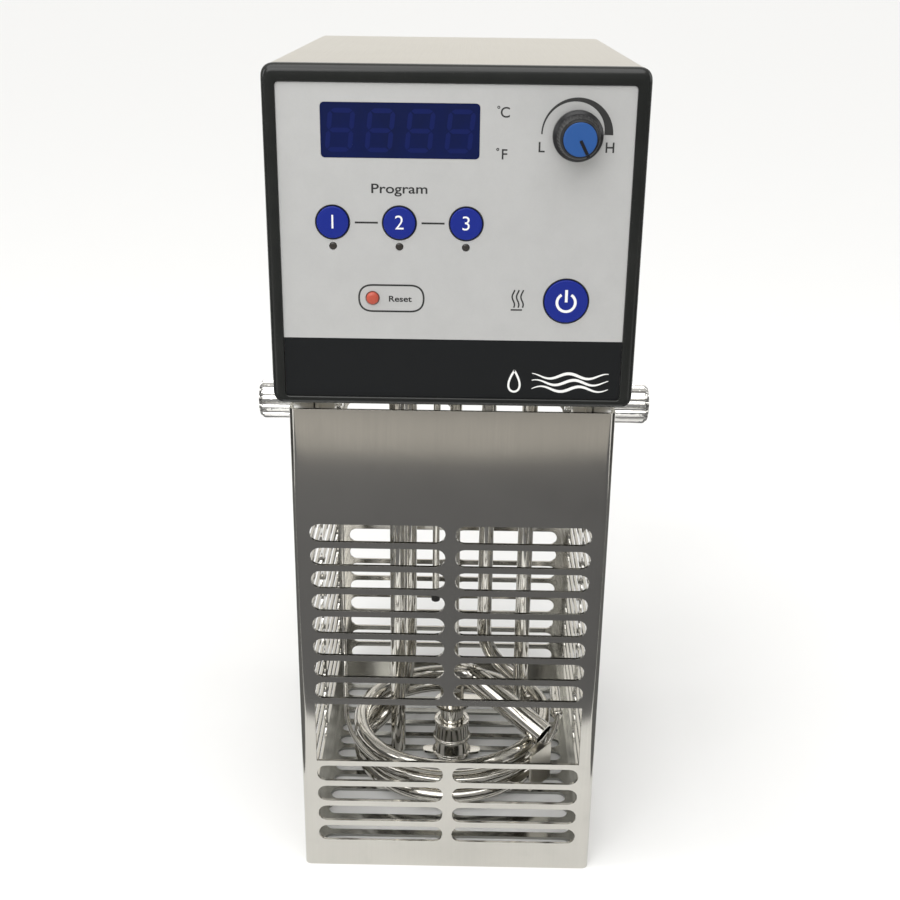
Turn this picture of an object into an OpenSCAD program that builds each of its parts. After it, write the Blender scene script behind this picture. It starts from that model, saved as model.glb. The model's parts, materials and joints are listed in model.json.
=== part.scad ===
// Sous vide circulator: a head with a motor and controls, over a pump and a
// heater coil that hang inside a slotted cage. The cage stands on the ground.
// X runs to the viewer's right, Y runs to the back, Z runs up.
// The origin is the middle of the cage's floor, on the ground.

/* [Cage] */
// Outer width of the cage, along X
cage_w = 113.8; // [112:0.2:116]
// Outer depth of the cage, along Y
cage_d = 150; // [146:1:156]
// Height of the cage walls
cage_h = 194.5; // [192:0.5:195]
// Thickness of the folded steel sheet
sheet = 1.2; // [1:0.1:1.2]
// Height of one slot
slot_h = 7; // [6:0.1:7.4]
// Distance from one slot row to the next
slot_pitch = 9.4; // [9.2:0.1:9.5]
// Height of the lowest slot row on the front and the sides
slot_first_z = 15.5; // [14:0.5:16]
// Height of the lowest slot row on the back
slot_back_z = 10.4; // [10:0.2:12]
// Number of slot rows
slot_rows = 15; // [12:1:15]
// Width of the strip between the two columns of slots
mullion = 3.6; // [3:0.2:5]
// Outer corner radius of the sheet's bends
bend_r = 2.5; // [2:0.1:3]

/* [Head] */
// Outer width of the head
head_w = 123; // [122:0.5:126]
// Outer height of the head
head_h = 112.3; // [110:0.1:114]
// Outer depth of the head
head_d = 166; // [160:1:170]
// Gap between the cage's top edge and the head
head_gap = 3; // [2.5:0.5:4]
// How far the head's front stands ahead of the cage's front
front_overhang = 4; // [3:0.5:5]
// Depth of the front bezel that shows in front of the cover
bezel_t = 4.5; // [4:0.5:5]
// Corner radius of the front bezel
bezel_r = 4; // [4:0.5:6]

/* [Controls] */
// Diameter of a program button
program_d = 10.8; // [10:0.1:11.2]
// Diameter of the power button
power_d = 14.9; // [14:0.1:15.5]
// Diameter of the reset button
reset_d = 4.2; // [3.8:0.1:4.6]
// Distance between two program buttons
program_pitch = 21.75; // [21:0.25:22]
// Diameter of the dial knob's skirt
dial_d = 16; // [15:0.5:17]
// Height of the dial knob above the panel
dial_h = 12.6; // [11:0.1:14]

/* [Pump and heater] */
// Distance of the pump's axis from the middle, along X
pump_x = 1; // [0:0.5:2]
// Diameter of the motor and drive shafts
shaft_d = 5; // [4:0.5:5]
// Outer diameter of the outlet pipe
pipe_d = 10.5; // [10:0.5:11]
// Diameter of the heater's tube
heater_d = 6.5; // [6:0.1:6.8]
// Radius of the heater coil, to the middle of its tube
coil_r = 41; // [39:0.5:42]
// Number of turns in the heater coil
coil_turns = 2.5; // [2.5:1:2.5]
// Rise of the heater coil in one turn
coil_pitch = 7; // [6.8:0.05:7.1]
// Height of the heater coil's lowest turn
coil_z = 7.5; // [7.2:0.1:7.8]

/* [Clamp] */
// Diameter of the clamp knobs
knob_d = 16; // [14:0.5:18]
// Diameter of the clamp studs, M6
stud_d = 6; // [6:0.1:6]
// Height of the clamp studs' axis
stud_z = 172.4; // [170:0.1:175]

/* [Hidden] */
$fn = 48;

// Small distances used everywhere: eps keeps cuts clean, fit is a running fit
eps = 0.5;
fit = 0.05;

// Cage
wall_x = cage_w / 2 - sheet;
wall_y = cage_d / 2 - sheet;
fold = 6;
slot_end = 51;
side_slot_end = 64;
slot_len = slot_end - mullion / 2;
side_slot_len = side_slot_end - mullion / 2;
window_first = 4;
window_rows = 3;
window_z0 = slot_first_z + slot_pitch * (window_first - 0.5) + 1;
window_z1 = slot_first_z + slot_pitch * (window_first + window_rows - 0.5) - 1.4;
floor_pitch = 10.2;
floor_rows = 13;

// Head levels and faces
head_z = cage_h + head_gap;
head_top = head_z + head_h;
front_y = -cage_d / 2 - front_overhang;
back_y = front_y + head_d;
base_z = head_z + 0.5;
base_t = 1.5;
deck_z = base_z + base_t;
cover_w = head_w - 1;
cover_top = head_top - 0.5;
cover_y0 = front_y + bezel_t;
cover_in = cover_w / 2 - sheet;
flange_h = 12;
gland_at = [-36, base_z + 24];

// Front panel: opening in the bezel, and the sheets that lie in it
panel_w = 114;
panel_z0 = head_z + 3.1;
panel_z1 = head_top - 5.6;
film_y = front_y + 0.8;
film_t = 0.5;
plate_y = film_y + film_t;
plate_t = 1.5;
plate_back = plate_y + plate_t;
board_y = front_y + 15;
board_t = 1.6;

// Places of the controls: X, and height measured down from the head's top
program_x = -17.9;
program_z = head_top - 49.5;
led_z = head_top - 57.3;
led_d = 2.5;
power_x = 37.4;
power_z = head_top - 74.8;
reset_x = -26.9;
reset_z = head_top - 74.6;
dial_x = 38.5;
dial_z = head_top - 20.7;
window_x0 = -42.9;
window_x1 = 7.7;
window_top = head_top - 11.6;
window_bottom = head_top - 28.8;
button_gap = 0.25;
button_play = 0.1;
dial_rest = 27.8;

// Motor stack heights
shaft_r = shaft_d / 2;
bracket_z = deck_z + 18.5;
motor_z = bracket_z + 2;
motor_r = 25;
motor_h = 42;
cap_h = 4;
bearing_r = 8;
bearing_h = 5;
motor_top = motor_z + motor_h + cap_h;
joint_z = deck_z + 6.5;

// Pump
housing_top = 20.5;
housing_r = 7.6;
elbow_r = 10;
elbow_z = 36.3;
elbow_turn = 112;
pipe_run = 37.4;
pipe_azimuth = -35.6;
pipe_wall = 0.75;

// Heater: coil, then one riser at each end
riser_a = [pump_x + 14, 18];
riser_b = [pump_x - 20, 20];
riser_top = deck_z + 6;
bend_top_a = 58;
bend_top_b = 52;
coil_end_z = coil_z + coil_turns * coil_pitch;

// Probes and rods, all [x, y]
probe_at = [-23.3, 0];
rod_at = [31.5, 4];
level_at = [-7, 10];
level_tip_z = 75;
sensor_at = [-49, 18];
sensor_r = coil_r + 6.6;

// Clamp
knob_len = 20.7;
lug_out = wall_x - 0.3;
lug_t = 2;
lug_z0 = stud_z - 10;
nut_t = 5;
washer_t = 1.2;
washer_x = cage_w / 2 + 0.1;
knob_x = washer_x + washer_t + 0.1;

// ---------------------------------------------------------------- helpers

// A straight slot with round ends, centred
module slot2d(length, width) {
    square([length - width, width], center = true);
    for (s = [-1, 1])
        translate([s * (length - width) / 2, 0]) circle(d = width);
}

// A rectangle with round corners, centred
module round_rect(w, h, r) {
    square([w - 2 * r, h], center = true);
    square([w, h - 2 * r], center = true);
    for (sx = [-1, 1])
        for (sy = [-1, 1])
            translate([sx * (w / 2 - r), sy * (h / 2 - r)]) circle(r = r);
}

// A tube standing on z = 0
module tube(r_out, r_in, h) {
    difference() {
        cylinder(r = r_out, h = h);
        translate([0, 0, -eps]) cylinder(r = r_in, h = h + 2 * eps);
    }
}

// Two columns of slots; the rows between skip_from and skip_to are left out
module slot_rows2d(column_len, first_z, skip_from, skip_to) {
    centre = mullion / 2 + column_len / 2;
    for (row = [0 : slot_rows - 1])
        if (row < skip_from || row > skip_to)
            for (s = [-1, 1])
                translate([s * centre, first_z + row * slot_pitch])
                    slot2d(column_len, slot_h);
}

// Turns a flat outline in X and Z into a plate from y = y0 to y = y0 + t
module plate_xz(y0, t) {
    translate([0, y0 + t, 0]) rotate([90, 0, 0]) linear_extrude(height = t) children();
}

// Lays a piece built along +Z so that it points to the front, from y0
module to_front(x, z, y0) {
    translate([x, y0, z]) rotate([90, 0, 0]) children();
}

// ---------------------------------------------------------------- cage

module cage_front() {
    color("darkgray")
    difference() {
        linear_extrude(height = cage_h) front_fold2d();
        plate_xz(-cage_d / 2 - eps, 3)
            slot_rows2d(slot_len, slot_first_z, window_first, window_first + window_rows - 1);
        translate([-slot_end, -cage_d / 2 - eps, window_z0])
            cube([2 * slot_end, 3, window_z1 - window_z0]);
    }
}

// The front sheet's cross section, with one bend and a short fold on each side
module front_fold2d() {
    translate([-cage_w / 2 + bend_r, -cage_d / 2]) square([cage_w - 2 * bend_r, sheet]);
    for (s = [-1, 1]) {
        translate([s * (cage_w / 2 - bend_r), -cage_d / 2 + bend_r])
            intersection() {
                difference() {
                    circle(r = bend_r);
                    circle(r = bend_r - sheet);
                }
                translate([s > 0 ? 0 : -bend_r, -bend_r]) square(bend_r);
            }
        translate([s > 0 ? wall_x : -cage_w / 2, -cage_d / 2 + bend_r])
            square([sheet, fold - bend_r]);
    }
}

// A side wall: slots, and an open notch that lets the clamp stud in from above
module cage_side(side) {
    color("darkgray")
    translate([side > 0 ? wall_x : -cage_w / 2, 0, 0])
    rotate([90, 0, 90])
    linear_extrude(height = sheet)
    difference() {
        translate([-cage_d / 2 + fold, 0]) square([cage_d - fold - sheet, cage_h]);
        slot_rows2d(side_slot_len, slot_first_z, slot_rows, slot_rows);
        translate([0, stud_z]) circle(d = stud_d + 0.8);
        translate([-stud_d / 2 - 0.4, stud_z]) square([stud_d + 0.8, cage_h - stud_z + eps]);
    }
}

module cage_left() { cage_side(-1); }

module cage_right() { cage_side(1); }

module cage_back() {
    color("darkgray")
    plate_xz(wall_y, sheet)
        difference() {
            translate([-cage_w / 2, 0]) square([cage_w, cage_h]);
            slot_rows2d(slot_len, slot_back_z, slot_rows, slot_rows);
        }
}

module cage_floor() {
    centre = mullion / 2 + slot_len / 2;
    color("darkgray")
    linear_extrude(height = sheet)
    difference() {
        square([2 * wall_x, 2 * wall_y], center = true);
        for (row = [0 : floor_rows - 1])
            for (s = [-1, 1])
                translate([s * centre, (row - (floor_rows - 1) / 2) * floor_pitch])
                    slot2d(slot_len, slot_h);
    }
}

// ---------------------------------------------------------------- head case

// Every hole through the base plate for a tube, as [x, y, radius]
function base_holes() = [
    [pump_x, 0, 6],
    [riser_a[0], riser_a[1], heater_d / 2 + 0.5],
    [riser_b[0], riser_b[1], heater_d / 2 + 0.5],
    [probe_at[0], probe_at[1], 3.5],
    [rod_at[0], rod_at[1], 3.5],
    [level_at[0], level_at[1], 1.8],
    [sensor_at[0], sensor_at[1], 1.3]];

module base_plate() {
    x = cover_in - 0.1;
    y0 = cover_y0 + 0.1;
    y1 = back_y - 2 * sheet - 0.1;
    color("silver")
    difference() {
        union() {
            translate([-x, y0, base_z]) cube([2 * x, y1 - y0, base_t]);
            for (s = [-1, 1])
                translate([s > 0 ? x - base_t : -x, cover_y0 + 7, base_z])
                    cube([base_t, y1 - cover_y0 - 7, flange_h]);
            translate([-x, y1 - base_t, base_z]) cube([2 * x, base_t, flange_h]);
        }
        for (h = base_holes())
            translate([h[0], h[1], base_z - eps]) cylinder(r = h[2], h = base_t + 2 * eps);
        side_screws() cylinder(r = 1.5, h = 20, center = true);
        for (s = [-1, 1])
            translate([s * 48, y1, base_z + 7]) rotate([90, 0, 0])
                cylinder(r = 1.5, h = 10, center = true);
    }
}

module head_cover() {
    in_top = cover_top - sheet;
    y1 = back_y;
    color("gainsboro")
    difference() {
        union() {
            difference() {
                plate_xz(cover_y0, y1 - cover_y0)
                    translate([0, (cover_top + base_z - bend_r) / 2])
                    round_rect(cover_w, cover_top - base_z + bend_r, bend_r);
                plate_xz(cover_y0 - eps, y1 - cover_y0 + 2 * eps)
                    translate([0, (in_top + base_z - bend_r) / 2 - 5])
                    round_rect(2 * cover_in, in_top - base_z + bend_r + 10, bend_r - sheet);
                translate([-head_w, cover_y0 - eps, base_z - 30])
                    cube([2 * head_w, head_d, 30]);
            }
            translate([-cover_in, y1 - 3 * sheet, in_top - 10]) cube([2 * cover_in, sheet, 10]);
        }
        side_screws() cylinder(r = 1.7, h = 20, center = true);
        for (s = [-1, 1])
            translate([s * 48, y1, cover_top - 7]) rotate([90, 0, 0])
                cylinder(r = 1.5, h = 10, center = true);
    }
}

// The places of the cover's side screws, with the screw axis along X
module side_screws() {
    for (s = [-1, 1])
        for (y = [front_y + 34, back_y - 27])
            translate([s * cover_in, y, base_z + 7.5]) rotate([0, s * 90, 0]) children();
}

module rear_panel() {
    x = cover_in - 0.2;
    z0 = base_z + 0.2;
    z1 = cover_top - sheet - 0.2;
    color("gainsboro")
    plate_xz(back_y - 2 * sheet, sheet)
        difference() {
            translate([-x, z0]) square([2 * x, z1 - z0]);
            for (row = [0 : 7])
                for (s = [-1, 1])
                    translate([s * 26, z0 + 37 + row * 7]) slot2d(36, 2.6);
            translate(gland_at) circle(r = 6.1);
            for (s = [-1, 1])
                for (z = [base_z + 7, cover_top - 7])
                    translate([s * 48, z]) circle(r = 1.7);
        }
}

// One quarter-round bar end of the bezel, as a disc with a rounded front edge
module bezel_disc() {
    edge = 3;
    rotate([90, 0, 0])
        rotate_extrude($fn = 32) {
            square([bezel_r, bezel_t - edge]);
            square([bezel_r - edge, bezel_t]);
            translate([bezel_r - edge, bezel_t - edge])
                intersection() {
                    circle(r = edge, $fn = 32);
                    square(edge);
                }
        }
}

module front_bezel() {
    lip_x = cover_in - 0.3;
    lip_top = cover_top - sheet - 0.3;
    pocket_x = panel_w / 2 + 0.8;
    mid = (panel_z0 + panel_z1) / 2;
    color("black")
    difference() {
        union() {
            hull()
                for (s = [-1, 1])
                    for (z = [head_z + bezel_r, head_top - bezel_r])
                        translate([s * (head_w / 2 - bezel_r), cover_y0, z]) bezel_disc();
            translate([-lip_x, cover_y0, head_z + 9]) cube([2 * lip_x, 6, lip_top - head_z - 9]);
        }
        plate_xz(front_y - eps, 20)
            translate([0, mid]) round_rect(panel_w, panel_z1 - panel_z0, 1.3);
        plate_xz(plate_y - 0.02, 20)
            translate([0, mid]) square([2 * pocket_x, panel_z1 - panel_z0 + 1.6], center = true);
    }
}

// Holes for the buttons, lamps and dial in the front sheets
module control_holes2d() {
    for (i = [-1 : 1]) {
        translate([program_x + i * program_pitch, program_z]) circle(r = program_d / 2 + button_gap);
        translate([program_x + i * program_pitch, led_z]) circle(d = led_d + 0.1);
    }
    translate([power_x, power_z]) circle(r = power_d / 2 + button_gap);
    translate([reset_x, reset_z]) circle(r = reset_d / 2 + button_gap);
    translate([dial_x, dial_z]) circle(r = 3.6);
}

module display_hole2d(grow) {
    translate([(window_x0 + window_x1) / 2, (window_top + window_bottom) / 2])
        round_rect(window_x1 - window_x0 + 2 * grow, window_top - window_bottom + 2 * grow, 1.3);
}

module front_overlay() {
    color("lightgray")
    plate_xz(film_y, film_t - 0.02)
        difference() {
            translate([0, (panel_z0 + panel_z1) / 2])
                round_rect(panel_w - 0.2, panel_z1 - panel_z0 - 0.2, 1.2);
            control_holes2d();
            display_hole2d(0.05);
        }
}

module front_plate() {
    color("silver")
    plate_xz(plate_y, plate_t)
        difference() {
            translate([0, (panel_z0 + panel_z1) / 2])
                square([panel_w + 1.2, panel_z1 - panel_z0 + 1.2], center = true);
            control_holes2d();
            display_hole2d(-1);
        }
}

module display_window() {
    color("navy") plate_xz(film_y - 0.05, film_t + 0.03) display_hole2d(0);
}

module display_module() {
    color("midnightblue")
    translate([(window_x0 + window_x1) / 2 - 25.1, board_y - 8, (window_top + window_bottom) / 2 - 9.5])
        cube([50.2, 8, 19]);
}

// ---------------------------------------------------------------- controls

module control_board() {
    top = head_top - 8;
    middle = reset_z + 16;
    low = power_z - 12;
    color("darkgreen")
    plate_xz(board_y, board_t)
        difference() {
            union() {
                translate([-52, middle]) square([104, top - middle]);
                translate([8, low]) square([44, middle - low + eps]);
            }
            translate([dial_x, dial_z]) circle(r = 9.5);
        }
}

// Four posts between the front plate and the control board
module board_standoffs() {
    color("goldenrod")
    for (p = [[-49.5, head_top - 11], [27.5, head_top - 11], [-49.5, reset_z + 19], [49.5, power_z - 9]])
        to_front(p[0], p[1], board_y) cylinder(r = 2, h = board_y - plate_back);
}

module button_switch(x, z) {
    to_front(x, z, board_y) {
        translate([-3, -3, 0]) cube([6, 6, 4]);
        cylinder(r = 1.7, h = 5);
    }
}

module button_switches() {
    color("dimgray") {
        for (i = [-1 : 1]) button_switch(program_x + i * program_pitch, program_z);
        button_switch(power_x, power_z);
    }
}

module program_leds() {
    color("darkslategray")
    for (i = [-1 : 1])
        to_front(program_x + i * program_pitch, led_z, board_y) {
            cylinder(d = led_d - 0.1, h = board_y - film_y - 0.4);
            cylinder(d = led_d + 1.2, h = 6);
        }
}

// A button: cap through the front sheets, flange behind them, stem to its switch
module push_button(x, z, d, stem_end) {
    flange_y = plate_back + button_play;
    to_front(x, z, flange_y) cylinder(d = d, h = flange_y - film_y + 0.7);
    to_front(x, z, flange_y + 1.2) cylinder(d = d + 2, h = 1.2);
    to_front(x, z, stem_end) cylinder(d = 3, h = stem_end - flange_y);
}

module program_button(i) {
    color("mediumblue")
    push_button(program_x + (i - 2) * program_pitch, program_z, program_d, board_y - 5.9);
}

module program_button_1() { program_button(1); }

module program_button_2() { program_button(2); }

module program_button_3() { program_button(3); }

module power_button() {
    color("mediumblue") push_button(power_x, power_z, power_d, board_y - 5.9);
}

module reset_button() {
    y0 = plate_back + 7;
    color("tomato")
    to_front(reset_x, reset_z, y0) cylinder(d = reset_d, h = y0 - film_y + 1.4);
}

// Thermostat that cuts the heater out; the reset button slides in its neck
module reset_thermostat() {
    neck = 6;
    color("saddlebrown")
    difference() {
        union() {
            to_front(reset_x, reset_z, plate_back + neck + 0.1) cylinder(r = 5, h = neck);
            translate([reset_x - 13, plate_back + neck, reset_z - 13]) cube([26, 24, 26]);
        }
        to_front(reset_x, reset_z, plate_back + 10) cylinder(r = reset_d / 2 + fit, h = 11);
    }
}

module dial_potentiometer() {
    color("slategray")
    difference() {
        union() {
            to_front(dial_x, dial_z, plate_back + 9) cylinder(r = 8.2, h = 8.9);
            to_front(dial_x, dial_z, plate_back + 1) cylinder(r = 3.5, h = plate_back - film_y + 2.4);
        }
        to_front(dial_x, dial_z, plate_back + 7) cylinder(r = 3 + fit, h = 20);
    }
}

module dial_shaft() {
    y0 = plate_back + 6.5;
    color("silver") to_front(dial_x, dial_z, y0) cylinder(r = 3, h = y0 - film_y + 9);
}

// The knob: a skirt, a slightly tapered grip and a seat for the coloured cap
module dial_knob() {
    y0 = film_y - 1.8;
    bore = 7.4;
    color("black")
    difference() {
        to_front(dial_x, dial_z, y0)
            rotate_extrude()
                polygon([[0, 0], [dial_d / 2 - 0.4, 0], [dial_d / 2, 0.5], [dial_d / 2, 2.6],
                    [dial_d / 2 - 0.5, 3.4], [dial_d / 2 - 1.1, 3.8],
                    [dial_d / 2 - 1.8, dial_h - 3.2], [dial_d / 2 - 2.4, dial_h - 2.3], [0, dial_h - 2.3]]);
        to_front(dial_x, dial_z, y0 + 1) cylinder(r = 3, h = bore + 1);
        to_front(dial_x, dial_z, y0 + 1) cylinder(r = 4.6, h = 2.2);
    }
}

module dial_cap() {
    y0 = film_y - 1.8 - dial_h + 2.3;
    color("royalblue")
    difference() {
        to_front(dial_x, dial_z, y0) cylinder(d = dial_d - 5, h = 0.5);
        to_front(dial_x, dial_z, y0)
            rotate([0, 0, 180 + dial_rest]) translate([-0.6, 2, 0.3]) cube([1.2, 8, 2]);
    }
}

// ---------------------------------------------------------------- electrics

module power_board() {
    color("darkgreen")
    translate([-56, 36, deck_z + 6])
        difference() {
            cube([52, 44, 1.6]);
            for (p = [[3, 3], [49, 3], [3, 41], [49, 41]])
                translate([p[0], p[1], -eps]) cylinder(r = 1.6, h = 3);
        }
    color("goldenrod")
    for (p = [[3, 3], [49, 3], [3, 41], [49, 41]])
        translate([p[0] - 56, p[1] + 36, deck_z]) tube(2.6, 1.2, 6);
}

module heat_sink() {
    fins = 7;
    color("gray")
    translate([-48, 42, deck_z + 7.6]) {
        cube([36, 30, 3]);
        for (i = [0 : fins - 1])
            translate([i * 34.4 / (fins - 1), 0, 3]) cube([1.6, 30, 20]);
    }
}

module transformer() {
    color("dimgray")
    translate([8, 42, deck_z]) {
        cube([46, 36, 3]);
        translate([7, 4, 3]) cube([32, 28, 9]);
        translate([3, 8, 12]) cube([40, 20, 16]);
        translate([7, 4, 28]) cube([32, 28, 9]);
    }
}

module cable_gland() {
    color("black")
    translate([gland_at[0], back_y - sheet, gland_at[1]]) rotate([-90, 0, 0])
        difference() {
            union() {
                cylinder(r = 9, h = 2, $fn = 6);
                translate([0, 0, 2]) cylinder(r1 = 6.8, r2 = 5.6, h = 7);
                translate([0, 0, -13]) cylinder(r = 6, h = 13.5);
                translate([0, 0, -sheet - 5]) cylinder(r = 9, h = 5, $fn = 6);
            }
            translate([0, 0, -20]) cylinder(r = 3.6, h = 40);
        }
}

// A screw with a round head; the head's underside is at z = 0, head up
module case_screw() {
    cylinder(r = 2.8, h = 1.6);
    translate([0, 0, -5]) cylinder(r = 1.45, h = 5.2);
}

module case_screws() {
    color("silver") {
        side_screws() translate([0, 0, sheet + 0.02]) case_screw();
        for (s = [-1, 1])
            for (z = [base_z + 7, cover_top - 7])
                translate([s * 48, back_y - sheet + 0.02, z]) rotate([-90, 0, 0]) case_screw();
    }
}

// ---------------------------------------------------------------- motor

module motor_bracket() {
    leg_at = 27;
    color("silver")
    translate([pump_x, 0, 0]) {
        for (sx = [-1, 1])
            for (sy = [-1, 1])
                translate([sx * leg_at, sy * leg_at, deck_z]) cylinder(r = 3.5, h = bracket_z - deck_z);
        translate([0, 0, bracket_z])
            linear_extrude(height = 2)
            difference() {
                round_rect(64, 64, 5);
                circle(r = 11);
            }
    }
}

module motor_can() {
    color("gray")
    translate([pump_x, 0, motor_z])
        difference() {
            cylinder(r = motor_r, h = motor_h);
            translate([0, 0, 1.5]) cylinder(r = motor_r - 1.4, h = motor_h);
            translate([0, 0, -eps]) cylinder(r = bearing_r, h = 3);
            for (i = [0 : 5])
                rotate([0, 0, i * 60]) translate([17, 0, -eps]) cylinder(r = 2.5, h = 3);
        }
}

module motor_end_cap() {
    color("darkgray")
    translate([pump_x, 0, motor_z + motor_h])
        difference() {
            cylinder(r = motor_r, h = cap_h);
            translate([0, 0, -eps]) cylinder(r = bearing_r, h = cap_h + 1);
            for (i = [0 : 5])
                rotate([0, 0, i * 60]) translate([17, 0, -eps]) cylinder(r = 2.5, h = cap_h + 1);
        }
}

module motor_stator() {
    color("peru")
    translate([pump_x, 0, motor_z + 10]) tube(motor_r - 1.5, 14, 24);
}

module motor_rotor() {
    color("dimgray")
    translate([pump_x, 0, motor_z + 9]) tube(13.5, shaft_r, 26);
}

module motor_bearings() {
    color("lightsteelblue")
    for (z = [motor_z, motor_top - bearing_h])
        translate([pump_x, 0, z]) tube(bearing_r - 0.02, shaft_r + fit, bearing_h);
}

module motor_shaft() {
    color("silver")
    translate([pump_x, 0, joint_z + 0.2]) cylinder(r = shaft_r, h = motor_top + 14 - joint_z);
}

module shaft_coupling() {
    color("darkgray")
    translate([pump_x, 0, deck_z + 0.5])
        difference() {
            tube(7, shaft_r, 12);
            for (z = [3, 9])
                translate([0, 0, z]) rotate([0, 90, 0]) cylinder(r = 1.5, h = 10);
        }
}

module cooling_fan() {
    blades = 7;
    color("black")
    translate([pump_x, 0, motor_top + 3]) {
        tube(7, shaft_r, 10);
        for (i = [0 : blades - 1])
            rotate([0, 0, i * 360 / blades])
                translate([6.6, 0, 5]) rotate([32, 0, 0]) translate([0, -6, -0.7]) cube([20, 12, 1.4]);
    }
}

module shaft_seal() {
    color("dimgray")
    translate([pump_x, 0, base_z - 2]) tube(8.5, shaft_r + fit, 2);
    color("dimgray")
    translate([pump_x, 0, base_z]) tube(5.9, shaft_r + fit, base_t);
}

module drive_shaft() {
    z0 = 6;
    color("silver")
    translate([pump_x, 0, z0]) cylinder(r = shaft_r, h = joint_z - 0.2 - z0);
}

// ---------------------------------------------------------------- pump

module impeller() {
    blades = 4;
    color("gray")
    translate([pump_x, 0, 7]) {
        tube(4, shaft_r, 7);
        for (i = [0 : blades - 1])
            rotate([0, 0, i * 360 / blades]) translate([3.6, -0.5, 1]) cube([2.4, 1, 5]);
    }
}

// Pump housing: a small cup with an open inlet below, a rim, a bead and a foot
module pump_housing() {
    cavity_r = 6.4;
    foot_z = 3;
    color("lightgray")
    difference() {
        translate([pump_x, 0, 0]) {
            translate([0, 0, foot_z]) cylinder(r = housing_r, h = housing_top - foot_z);
            translate([0, 0, 11]) cylinder(r = housing_r + 0.9, h = 1.2);
            translate([0, 0, housing_top - 1]) cylinder(r = housing_r + 0.3, h = 1);
            translate([0, 0, foot_z])
                linear_extrude(height = 1.2) {
                    circle(r = housing_r + 1.2);
                    slot2d(26, 6);
                }
        }
        translate([pump_x, 0, foot_z + 2]) cylinder(r = cavity_r, h = 11.5);
        translate([pump_x, 0, foot_z - eps]) cylinder(r = 4.4, h = 5);
        translate([pump_x, 0, 16]) cylinder(r = pipe_d / 2 - pipe_wall, h = 6);
        for (s = [-1, 1])
            translate([pump_x + s * 10.5, 0, foot_z - eps]) cylinder(r = 1.6, h = 3);
    }
}

// Direction of the outlet pipe, seen from above
function outward(d) = [d * cos(pipe_azimuth), d * sin(pipe_azimuth), 0];

// Points of the outlet's path: riser, elbow and straight run, both ends longer by grow
function pipe_points(grow) =
    let (steps = 14, foot = [pump_x, 0, housing_top],
        elbow_end = [pump_x, 0, elbow_z] + outward(elbow_r * (1 - cos(elbow_turn)))
            + [0, 0, elbow_r * sin(elbow_turn)],
        away = outward(sin(elbow_turn)) + [0, 0, cos(elbow_turn)])
    concat(
        [foot - [0, 0, grow]],
        [for (i = [0 : steps]) let (a = elbow_turn * i / steps)
            [pump_x, 0, elbow_z] + outward(elbow_r * (1 - cos(a))) + [0, 0, elbow_r * sin(a)]],
        [elbow_end + (pipe_run + grow) * away]);

// The outlet pipe; the drive shaft enters it through a hole in the elbow
module pump_outlet_pipe() {
    color("gainsboro")
    difference() {
        pipe_sweep(pipe_points(0), pipe_d / 2);
        pipe_sweep(pipe_points(eps), pipe_d / 2 - pipe_wall);
        translate([pump_x, 0, housing_top - 1]) cylinder(r = shaft_r + 0.3, h = 60);
    }
}

// A bent strip under the pipe's mouth that turns the flow along the floor
module outlet_deflector() {
    reach = 49.2;
    lip_z = 25.6;
    color("gray")
    translate([pump_x, 0, 0]) rotate([0, 0, pipe_azimuth - 4]) {
        translate([reach, -7, 9]) cube([1, 14, lip_z - 8]);
        translate([reach - 3, -4, lip_z]) cube([4, 8, 1]);
    }
}

// ---------------------------------------------------------------- heater

function unit(v) = v / norm(v);

function bezier(a, b, c, d, t) =
    a * pow(1 - t, 3) + b * 3 * t * pow(1 - t, 2) + c * 3 * t * t * (1 - t) + d * pow(t, 3);

// Point of the coil at turn u, counted from its lower end on the left
function coil_point(u) =
    let (a = 180 - 360 * (coil_turns - u) + 360 * coil_turns)
    [pump_x + coil_r * cos(a), coil_r * sin(a), coil_z + coil_pitch * u];

// Side vector of a ring: square to the path, as near to the hint as it can be
function ring_side(t, hint) = unit(hint - t * (hint * t));

// The points of one round ring of n corners about p, square to the direction t
function ring(p, t, r, n, hint) =
    let (s = ring_side(t, hint), w = cross(t, s))
    [for (i = [0 : n - 1]) p + r * (cos(i * 360 / n) * s + sin(i * 360 / n) * w)];

// Directions along a path of points
function tangents(path) =
    let (last = len(path) - 1)
    [for (i = [0 : last]) unit(path[min(i + 1, last)] - path[max(i - 1, 0)])];

// A round rod swept along a path of points; the hints fix how its rings are turned
module sweep(path, r, n, hints) {
    t = tangents(path);
    count = len(path);
    points = [for (i = [0 : count - 1]) each ring(path[i], t[i], r, n, hints[i])];
    sides = [for (i = [0 : count - 2]) for (j = [0 : n - 1])
        [(i + 1) * n + j, (i + 1) * n + (j + 1) % n, i * n + (j + 1) % n, i * n + j]];
    caps = [[for (j = [0 : n - 1]) j], [for (j = [n - 1 : -1 : 0]) (count - 1) * n + j]];
    polyhedron(points = points, faces = concat(sides, caps), convexity = 8);
}

// Hints that point away from the pump's axis
function outward_hints(path) = [for (p = path) unit([p[0] - pump_x, p[1], 0])];

// A rod swept along a path in the upright plane of the outlet pipe
module pipe_sweep(path, r) {
    side = [-sin(pipe_azimuth), cos(pipe_azimuth), 0];
    sweep(path, r, 24, [for (p = path) side]);
}

// Heater path: riser b, bend, coil from bottom to top, bend, riser a
function heater_path() =
    let (low = coil_point(0), high = coil_point(coil_turns),
        b = [riser_b[0], riser_b[1], bend_top_b],
        a = [riser_a[0], riser_a[1], bend_top_a])
    concat(
        [[riser_b[0], riser_b[1], riser_top]],
        [for (i = [0 : 9]) bezier(b, b - [0, 0, 46], low + [2, 22, -1], low, i / 10)],
        [for (i = [0 : 60]) coil_point(coil_turns * i / 60)],
        [for (i = [1 : 10]) bezier(high, high + [1, 18, 3], a - [0, 0, 24], a, i / 10)],
        [[riser_a[0], riser_a[1], riser_top]]);

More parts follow.
